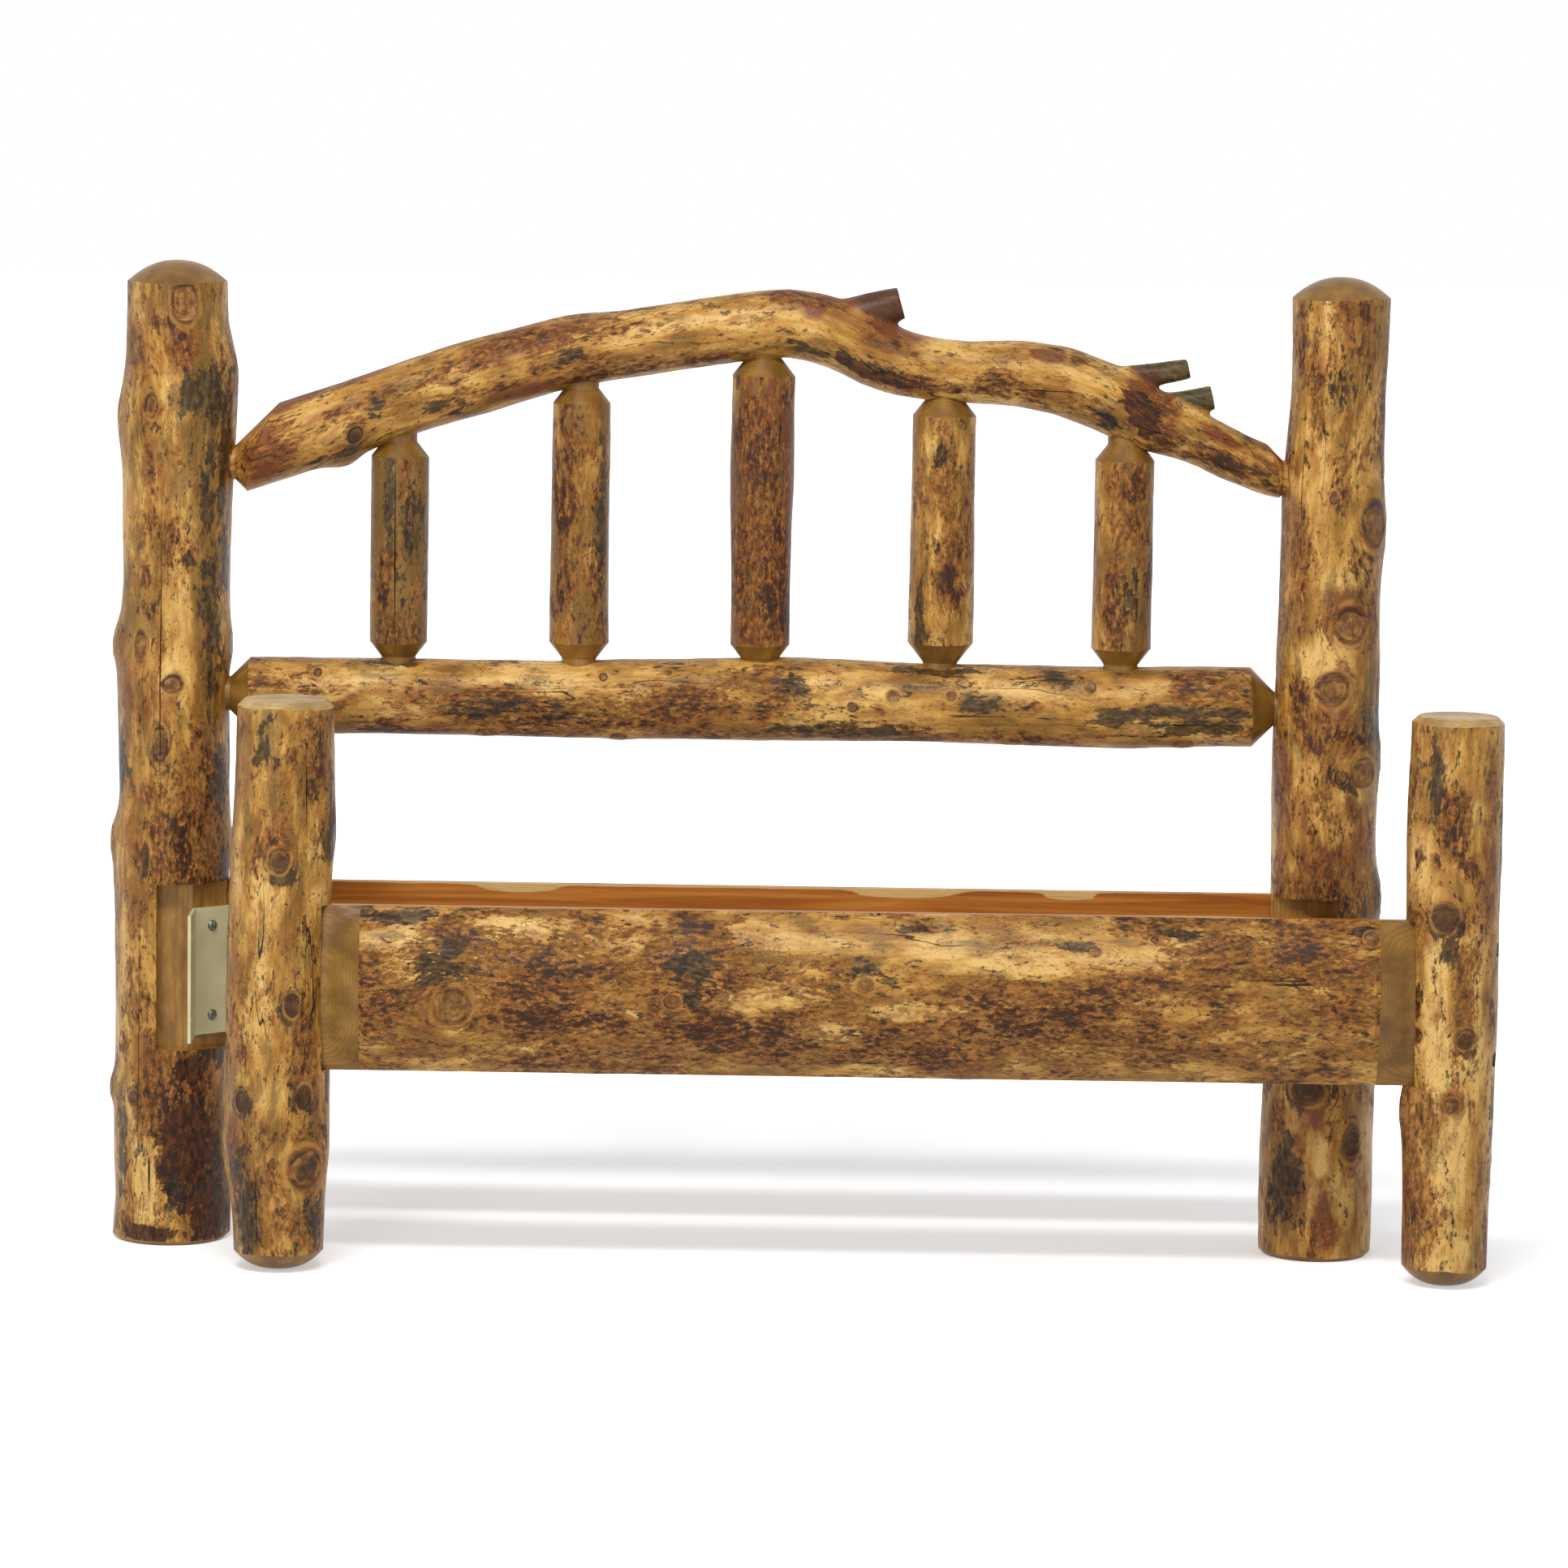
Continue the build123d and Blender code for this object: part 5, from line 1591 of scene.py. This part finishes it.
# %% Spindles
SPINDLE_FORMS = [
    [(0.0, 0.0415), (0.3, 0.0420), (0.6, 0.0425), (1.0, 0.0415)],
    [(0.0, 0.0441), (0.3, 0.0436), (0.6, 0.0421), (1.0, 0.0426)],
    [(0.0, 0.0438), (0.3, 0.0433), (0.6, 0.0463), (0.8, 0.0448), (1.0, 0.0463)],
    [(0.0, 0.0484), (0.3, 0.0479), (0.6, 0.0464), (1.0, 0.0464)],
    [(0.0, 0.0445), (0.3, 0.0435), (0.6, 0.0430), (1.0, 0.0440)],
]
SPINDLE_KNOTS = [[], [], [], [], [Knot(0.185, -3, 0.0047, 0.0005, 0.0015, 1.25)]]
SPINDLE_DAUBS = [
    {
        "soot": [
            (0.269, -17, 0.154, 0.020, 1.0), (0.246, 30, 0.130, 0.035, 0.9),
            (0.175, 9, 0.261, 0.072, 0.3),
        ],
        "bark": [
            (0.150, -30, 0.107, 0.027, 1.0), (0.080, 18, 0.047, 0.062, 0.8),
        ],
        "dull": [(0.200, 0, 0.600, 0.200, 1.3)],
    },
    {
        "bark": [
            (0.344, -16, 0.071, 0.054, 0.7), (0.178, 37, 0.107, 0.030, 0.9),
            (0.230, -30, 0.300, 0.050, 0.6),
        ],
        "soot": [(0.248, 51, 0.237, 0.023, 1.0)],
        "red": [(0.083, -12, 0.052, 0.041, 1.0)],
        "dull": [(0.250, 10, 0.600, 0.160, 0.8)],
    },
    {
        "red": [(0.241, 3, 0.427, 0.160, 2.4)],
        "bark": [
            (0.347, -7, 0.142, 0.072, 1.1), (0.276, -22, 0.040, 0.031, 1.4),
            (0.193, 12, 0.300, 0.140, 1.35), (0.098, 6, 0.071, 0.071, 0.9),
        ],
        "pale": [(0.250, 90, 0.237, 0.041, 0.7)],
        "dull": [(0.250, 0, 0.500, 0.140, 0.8)],
    },
    {
        "bark": [
            (0.303, -5, 0.154, 0.052, 1.0), (0.243, 53, 0.213, 0.040, 1.0),
            (0.184, 15, 0.107, 0.044, 1.0),
        ],
        "soot": [
            (0.087, -44, 0.142, 0.020, 1.2), (0.350, -6, 0.036, 0.017, 0.9),
        ],
        "pale": [(0.350, -22, 0.071, 0.038, 0.7)],
        "dull": [(0.300, 30, 0.400, 0.050, 0.6)],
    },
    {
        "bark": [
            (0.199, -8, 0.261, 0.029, 0.9), (0.259, 27, 0.154, 0.040, 0.8),
        ],
        "soot": [(0.140, 18, 0.107, 0.037, 0.5)],
        "red": [(0.257, -46, 0.237, 0.034, 0.5)],
        "dull": [(0.200, 10, 0.600, 0.180, 0.5)],
    },
]
SPINDLE_CHECKS = [
    [(0.190, -5, 0.330, 0.015)],
    [(0.230, 160, 0.380, 0.010)],
    [(0.240, 150, 0.420, 0.010)],
    [(0.120, -52, 0.200, 0.008), (0.260, 140, 0.360, 0.010)],
    [(0.200, 200, 0.300, 0.010)],
]
SPINDLE_SWELL = 0.003
SPINDLE_FACET = 0.0012

for number, form in enumerate(SPINDLE_FORMS):
    name = f"spindle_{number + 1}"
    low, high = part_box(name)
    length = high.z - low.z
    stations = [(share * length, 0.0, radius) for share, radius in form]
    spindle = Log(
        name,
        "headboard",
        True,
        ((low.x + high.x) / 2, HEAD_AXIS[1], low.z),
        stations,
        SPINDLE_KNOTS[number],
        SPINDLE_DAUBS[number],
        SPINDLE_CHECKS[number],
    )
    piece = grow(spindle, -OVERSHOOT, length + OVERSHOOT)
    weather(piece, spindle, SPINDLE_SWELL, SPINDLE_FACET)
    machine_ends(piece, spindle, SPINDLE_TENON, SPINDLE_SHOULDER_SLOPE, far_tenon=SPINDLE_TOP_TENON)
    hand_over(piece, spindle, 7 + number)

# %% [markdown]
# ## Half logs
# The footboard's panel and the headboard's lower rail are slabs sawn off a thick log: flat on one
# side and wild on the other. A large disc is bisected down to the slab's section and extruded
# step by step, and a simple subdivision makes the faces small enough to be shaped. At each end
# the bark side is trimmed down to a tongue as thick as the slot in the post.

# %% Half logs
ARC_HALF_WIDTH = 0.120
ARC_RISE = 0.053
SLAB_RADIUS = (ARC_HALF_WIDTH**2 + ARC_RISE**2) / (2 * ARC_RISE)
SLAB_SIDES = 72
SLAB_RINGS = 56
FLAT_CUTS = 11
ON_FLAT = 1e-5
SLAB_TRIM = 0.047
TRIM_STEP = 0.004
TRIM_SHARE = 0.90
TONGUE_SHARE = 0.28
TONGUE_LENGTH = 0.026
BARK_MARGIN = 0.001
WILD_FROM = 0.004
SAWN_EDGE_TURN = 0.8
SAWN_END_TURN = 0.5
SLAB_SWELL = 0.005
SLAB_FACET = 0.0024


def bisect(point, normal):
    """Cuts away all that lies beyond a plane, in edit mode."""
    bpy.ops.mesh.select_all(action="SELECT")
    bpy.ops.mesh.bisect(plane_co=point, plane_no=normal, clear_outer=True)


def draw_half_log(log, bulge, flat_y):
    """Draws a plain half log between the ends of the joiner's node."""
    low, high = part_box(log.name)
    circle = {"vertices": SLAB_SIDES, "radius": SLAB_RADIUS, "fill_type": "NGON"}
    piece = add(bpy.ops.mesh.primitive_circle_add, **circle)
    piece.name = f"{log.name}_log"
    piece.rotation_euler = (0, math.radians(90), 0)
    piece.location = (low.x, log.origin[1], log.origin[2])
    settle(piece)
    bpy.ops.object.mode_set(mode="EDIT")
    bisect((0, flat_y, 0), (0, -bulge, 0))
    bisect((0, 0, SLAB_HIGH), (0, 0, 1))
    bisect((0, 0, SLAB_LOW), (0, 0, -1))
    bpy.ops.mesh.select_all(action="DESELECT")
    bpy.ops.object.mode_set(mode="OBJECT")
    for edge in piece.data.edges:
        ends = [piece.data.vertices[index].co for index in edge.vertices]
        edge.select = all(abs(end.y - flat_y) < ON_FLAT for end in ends)
    bpy.ops.object.mode_set(mode="EDIT")
    bpy.ops.mesh.select_mode(type="EDGE")
    bpy.ops.mesh.subdivide(number_cuts=FLAT_CUTS)
    bpy.ops.mesh.select_mode(type="VERT")
    bpy.ops.mesh.select_all(action="SELECT")
    step = (high.x - low.x) / SLAB_RINGS
    for _ in range(SLAB_RINGS):
        bpy.ops.mesh.extrude_region_move(TRANSFORM_OT_translate={"value": (step, 0, 0)})
    bpy.ops.mesh.select_all(action="SELECT")
    bpy.ops.mesh.normals_make_consistent(inside=False)
    bpy.ops.object.mode_set(mode="OBJECT")
    subdivide(piece, subdivision_type="SIMPLE")
    return piece


def trim_end(piece, mouth, inward, edge_y):
    """Squeezes the bark side towards the flat side near one end."""
    places = corners(piece)
    reach = (places[:, 0] - mouth) * inward
    shares = [TONGUE_SHARE, TRIM_SHARE, 1.0]
    share = np.interp(reach, [0.0, SLAB_TRIM, SLAB_TRIM + TRIM_STEP], shares)
    deep = (places[:, 1] - edge_y) * np.sign(places[:, 1].mean() - edge_y) > 0
    places[deep, 1] = edge_y + (places[deep, 1] - edge_y) * share[deep]
    piece.data.vertices.foreach_set("co", places.ravel())
    piece.data.update()


def dress_half_log(piece, bulge, flat_y, mouths):
    """Gives the bark side, its trimmed ends and the sawn faces their materials."""
    for finish in (peeled, turned, sawn):
        piece.data.materials.append(finish)
    for face in piece.data.polygons:
        inside = (face.center.y - flat_y) * bulge
        trimmed = min(face.center.x - mouths[0], mouths[1] - face.center.x) < SLAB_TRIM
        sawn_face = abs(face.normal.z) >= SAWN_EDGE_TURN or abs(face.normal.x) >= SAWN_END_TURN
        wild = inside > SLAB_EDGE or (inside > WILD_FROM and not sawn_face)
        face.material_index = 2 if not wild else 1 if trimmed else 0


def make_half_log(name, body, bulge, knots, daubs, seed):
    """Draws, shapes, trims and paints a slab. It bulges towards the foot (-1) or away (1)."""
    x, y = AXES[body]
    flat_y = y + bulge * SLAB_FLAT_OFFSET
    heart = (x, flat_y + bulge * (SLAB_THICKNESS - SLAB_RADIUS), SLAB_MIDDLE)
    form = [(-HALF_LOG_REACH, 0.0, SLAB_RADIUS), (HALF_LOG_REACH, 0.0, SLAB_RADIUS)]
    log = Log(name, body, False, heart, form, knots, daubs)
    low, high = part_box(name)
    mouths = (low.x + TONGUE_LENGTH, high.x - TONGUE_LENGTH)

    piece = draw_half_log(log, bulge, flat_y)
    depth = (corners(piece)[:, 1] - flat_y) * bulge
    bark_side = depth > SLAB_EDGE + BARK_MARGIN
    group = piece.vertex_groups.new(name="bark_side")
    group.add([int(index) for index in np.nonzero(bark_side)[0]], 1.0, "REPLACE")
    roughen(piece, False, SLAB_SWELL, SLAB_FACET, vertex_group="bark_side")
    piece.vertex_groups.remove(piece.vertex_groups["bark_side"])
    push_skin(piece, knot_heights(log, log.measure(corners(piece))) * bark_side)
    for mouth, inward in zip(mouths, (1, -1)):
        trim_end(piece, mouth, inward, flat_y + bulge * SLAB_EDGE)
    dress_half_log(piece, bulge, flat_y, mouths)
    hand_over(piece, log, seed)


PANEL_KNOTS = [
    Knot(-0.593, -6, 0.0250, 0.0022, 0.0015, 1.04),
    Knot(-0.255, 11, 0.0048, 0.0010, 0.0010, 1.23),
    Knot(-0.278, -2, 0.0095, 0.0020, 0.0020, 1.25),
    Knot(-0.001, 8, 0.0108, 0.0020, 0.0020, 1.10),
    Knot(0.327, 27, 0.0080, 0.0015, 0.0015, 1.19),
    Knot(0.413, 34, 0.0057, 0.0010, 0.0015, 1.04),
    Knot(0.724, 36, 0.0117, 0.0015, 0.0010, 0.81),
]
PANEL_DAUBS = {
    "soot": [
        (-0.249, -1, 0.028, 0.021, 1.5), (-0.608, 15, 0.095, 0.061, 1.0),
        (-0.253, 16, 0.071, 0.054, 1.0), (-0.001, 16, 0.047, 0.032, 0.9),
        (0.713, 40, 0.036, 0.018, 1.4), (-0.674, 41, 0.142, 0.025, 1.0),
        (0.305, 30, 0.071, 0.014, 1.2), (0.450, 38, 0.071, 0.018, 1.1),
        (0.083, 38, 0.083, 0.015, 1.0),
    ],
    "bark": [
        (-0.007, -23, 1.541, 0.116, 1.1), (-0.543, 7, 0.498, 0.203, 1.25),
        (-0.253, 13, 0.201, 0.146, 1.2), (0.526, 25, 0.356, 0.118, 1.0),
        (0.665, 5, 0.190, 0.214, 1.0), (-0.079, 9, 0.237, 0.072, 0.9),
        (0.270, 1, 0.474, 0.071, 1.0),
    ],
    "pale": [
        (0.000, 84, 1.560, 0.018, 1.1), (-0.684, 27, 0.119, 0.029, 1.3),
        (-0.487, 32, 0.142, 0.051, 1.2), (-0.079, 30, 0.166, 0.049, 1.1),
        (0.095, 29, 0.142, 0.049, 1.2), (0.212, 19, 0.178, 0.038, 1.1),
        (0.386, 25, 0.201, 0.047, 1.1), (-0.136, 0, 0.142, 0.026, 1.0),
        (-0.037, -17, 0.071, 0.032, 1.0), (-0.183, -6, 0.071, 0.026, 1.1),
        (0.050, -7, 0.119, 0.031, 0.9),
    ],
    "wane": [
        (-0.300, -51, 0.260, 0.0070, 1.4), (0.480, 51, 0.180, 0.0060, 1.4),
    ],
}
LOWER_RAIL_KNOTS = [
    Knot(0.250, 170, 0.0200, 0.0030, 0.0020, 1.10),
    Knot(-0.420, 190, 0.0160, 0.0030, 0.0020, 1.10),
]
LOWER_RAIL_DAUBS = {
    "bark": [(0.000, 180, 1.400, 0.240, 0.8)],
    # The long thin daub at 128 degrees, along the top edge of the flat face, paints a highlight
    # there; the shorter ones are pale wane.
    "wane": [
        (-0.339, 129.6, 0.120, 0.0095, 1.6), (0.233, 129.6, 0.150, 0.0095, 1.6),
        (0.476, 129.6, 0.080, 0.0090, 1.5), (0.000, 128.0, 1.700, 0.0030, 1.3),
        (-0.520, 231.5, 0.300, 0.0080, 1.4),
    ],
    "pale": [
        (-0.200, 175, 0.300, 0.060, 1.2), (0.350, 188, 0.300, 0.050, 1.2),
    ],
    "soot": [(0.100, 165, 0.200, 0.050, 0.9)],
}

make_half_log("footboard_panel", "footboard", -1, PANEL_KNOTS, PANEL_DAUBS, 12)
make_half_log("headboard_lower_rail", "headboard", 1, LOWER_RAIL_KNOTS, LOWER_RAIL_DAUBS, 13)

# %% [markdown]
# ## Steel
# The brackets are folded from plate and painted a pale greenish cream. Their bolts and the lag
# screws are zinc plated. The joiner's own meshes are kept for all of them, since steel has no
# wild surface to add, and only their finish is new.

# %% Bracket paint and plated steel


def bracket_paint():
    """Pale enamel with a few chips."""
    r = Recipe("cream_enamel", attribute=None)
    cloud = r.noise((14, 14, 14), detail=3)
    colour = r.ramp(cloud, (0.3, "#CFCA9C"), (0.55, "#DDD8A9"), (0.75, "#E8E2B8"))
    speck = r.step(r.cells((260, 260, 260)), 0.12, 0.05)
    colour = r.blend(r.times(speck, 0.25), colour, "#8B8C72")
    return r.finish(colour, r.noise((500, 500, 500), detail=2), 0.0001, 0.42)


def plated_steel():
    """Dull zinc plate."""
    r = Recipe("plated_steel", attribute=None)
    cloud = r.noise((90, 90, 90), detail=3)
    colour = r.ramp(cloud, (0.3, "#5A5E56"), (0.7, "#85887C"))
    return r.finish(colour, cloud, 0.0002, 0.38, metallic=0.85)


bracket_finish = bracket_paint()
steel_finish = plated_steel()
for name, node in nodes.items():
    finish = steel_finish if "bolts" in name or "screws" in name else bracket_finish
    node.data.materials.clear()
    node.data.materials.append(finish)

# %% [markdown]
# ## Stage
# A pale floor runs back to a white room. The floor keeps the shadow, and the camera sees the
# room as plain white. The floor turns to plain white too, away from the bed and from the way
# that the footboard is set out.

# %% Floor and room
FLOOR_SIZE = 60
WHITE_SHARE = 0.40
WHITE_FROM = 0.7
WHITE_TO = 2.0
SET_OUT = 2.1
ROOM_LIGHT = 0.30


def background_rays(nodes, links):
    """1 for rays that should see the white background: camera, glossy and transmission rays."""
    rays = nodes.new("ShaderNodeLightPath")
    total = rays.outputs["Is Camera Ray"]
    for name in ("Is Glossy Ray", "Is Transmission Ray"):
        either = nodes.new("ShaderNodeMath")
        either.operation = "MAXIMUM"
        links.new(total, either.inputs[0])
        links.new(rays.outputs[name], either.inputs[1])
        total = either.outputs[0]
    return total


floor = add(bpy.ops.mesh.primitive_plane_add, size=FLOOR_SIZE, location=(0, 0, 0))
floor.name = "floor"
paper = Recipe("floor_paper", attribute=None)
colours = {"Base Color": "#FAFAFA", "Roughness": 0.8, "Emission Color": (1, 1, 1, 1)}
paper.put(paper.shader, colours)
nearest = paper.grain
for operation, limit in (("MAXIMUM", (0, -SET_OUT, 0)), ("MINIMUM", (0, 0, 0))):
    clamp = paper.nodes.new("ShaderNodeVectorMath")
    clamp.operation = operation
    clamp.inputs[1].default_value = limit
    paper.links.new(nearest, clamp.inputs[0])
    nearest = clamp.outputs["Vector"]
away = paper.nodes.new("ShaderNodeVectorMath")
away.operation = "DISTANCE"
paper.links.new(paper.grain, away.inputs[0])
paper.links.new(nearest, away.inputs[1])
far = paper.step(away.outputs["Value"], WHITE_FROM, WHITE_TO)
share = paper.sum(WHITE_SHARE, far, 1 - WHITE_SHARE)
glow = paper.times(background_rays(paper.nodes, paper.links), share)
paper.links.new(glow, paper.shader.inputs["Emission Strength"])
floor.data.materials.append(paper.material)

room = bpy.data.worlds.new("room")
room.use_nodes = True
bpy.context.scene.world = room
room_nodes, room_links = room.node_tree.nodes, room.node_tree.links
strength = room_nodes.new("ShaderNodeMapRange")
strength.inputs["To Min"].default_value = ROOM_LIGHT
strength.inputs["To Max"].default_value = 1.0
room_links.new(background_rays(room_nodes, room_links), strength.inputs["Value"])
room_links.new(strength.outputs["Result"], room_nodes["Background"].inputs["Strength"])
room_nodes["Background"].inputs["Color"].default_value = (1, 1, 1, 1)

# %% [markdown]
# A long strip overhead lights the tops of the logs and keeps the shadow under the bed soft, and
# a weaker box on the left fills their fronts. Both are area lamps, as a studio's lights are wide.

# %% Lamps


def soft_box(name, place, target, size, power):
    """A wide lamp aimed at a point; its size is its width and its height."""
    lamp = bpy.data.lights.new(name, "AREA")
    lamp.shape = "RECTANGLE"
    lamp.size, lamp.size_y = size
    lamp.energy = power
    holder = bpy.data.objects.new(name, lamp)
    bpy.context.scene.collection.objects.link(holder)
    aim = (Vector(target) - Vector(place)).to_track_quat("-Z", "Y")
    holder.matrix_world = Matrix.Translation(place) @ aim.to_matrix().to_4x4()


soft_box("overhead_strip", (-0.7, -3.3, 5.1), (0, 0, 0.5), (3.4, 0.5), 200)
soft_box("front_fill", (-2.6, -6.0, 2.0), (0, 0, 0.7), (2.0, 2.0), 70)

bpy.context.scene.view_settings.view_transform = "Standard"

# %% [markdown]
# ## Clearing up
# The finished bed has to stay inside the joiner's box; each log prints how far it goes beyond.

# %% Throw away the stretching empty
bpy.data.objects.remove(stretch)
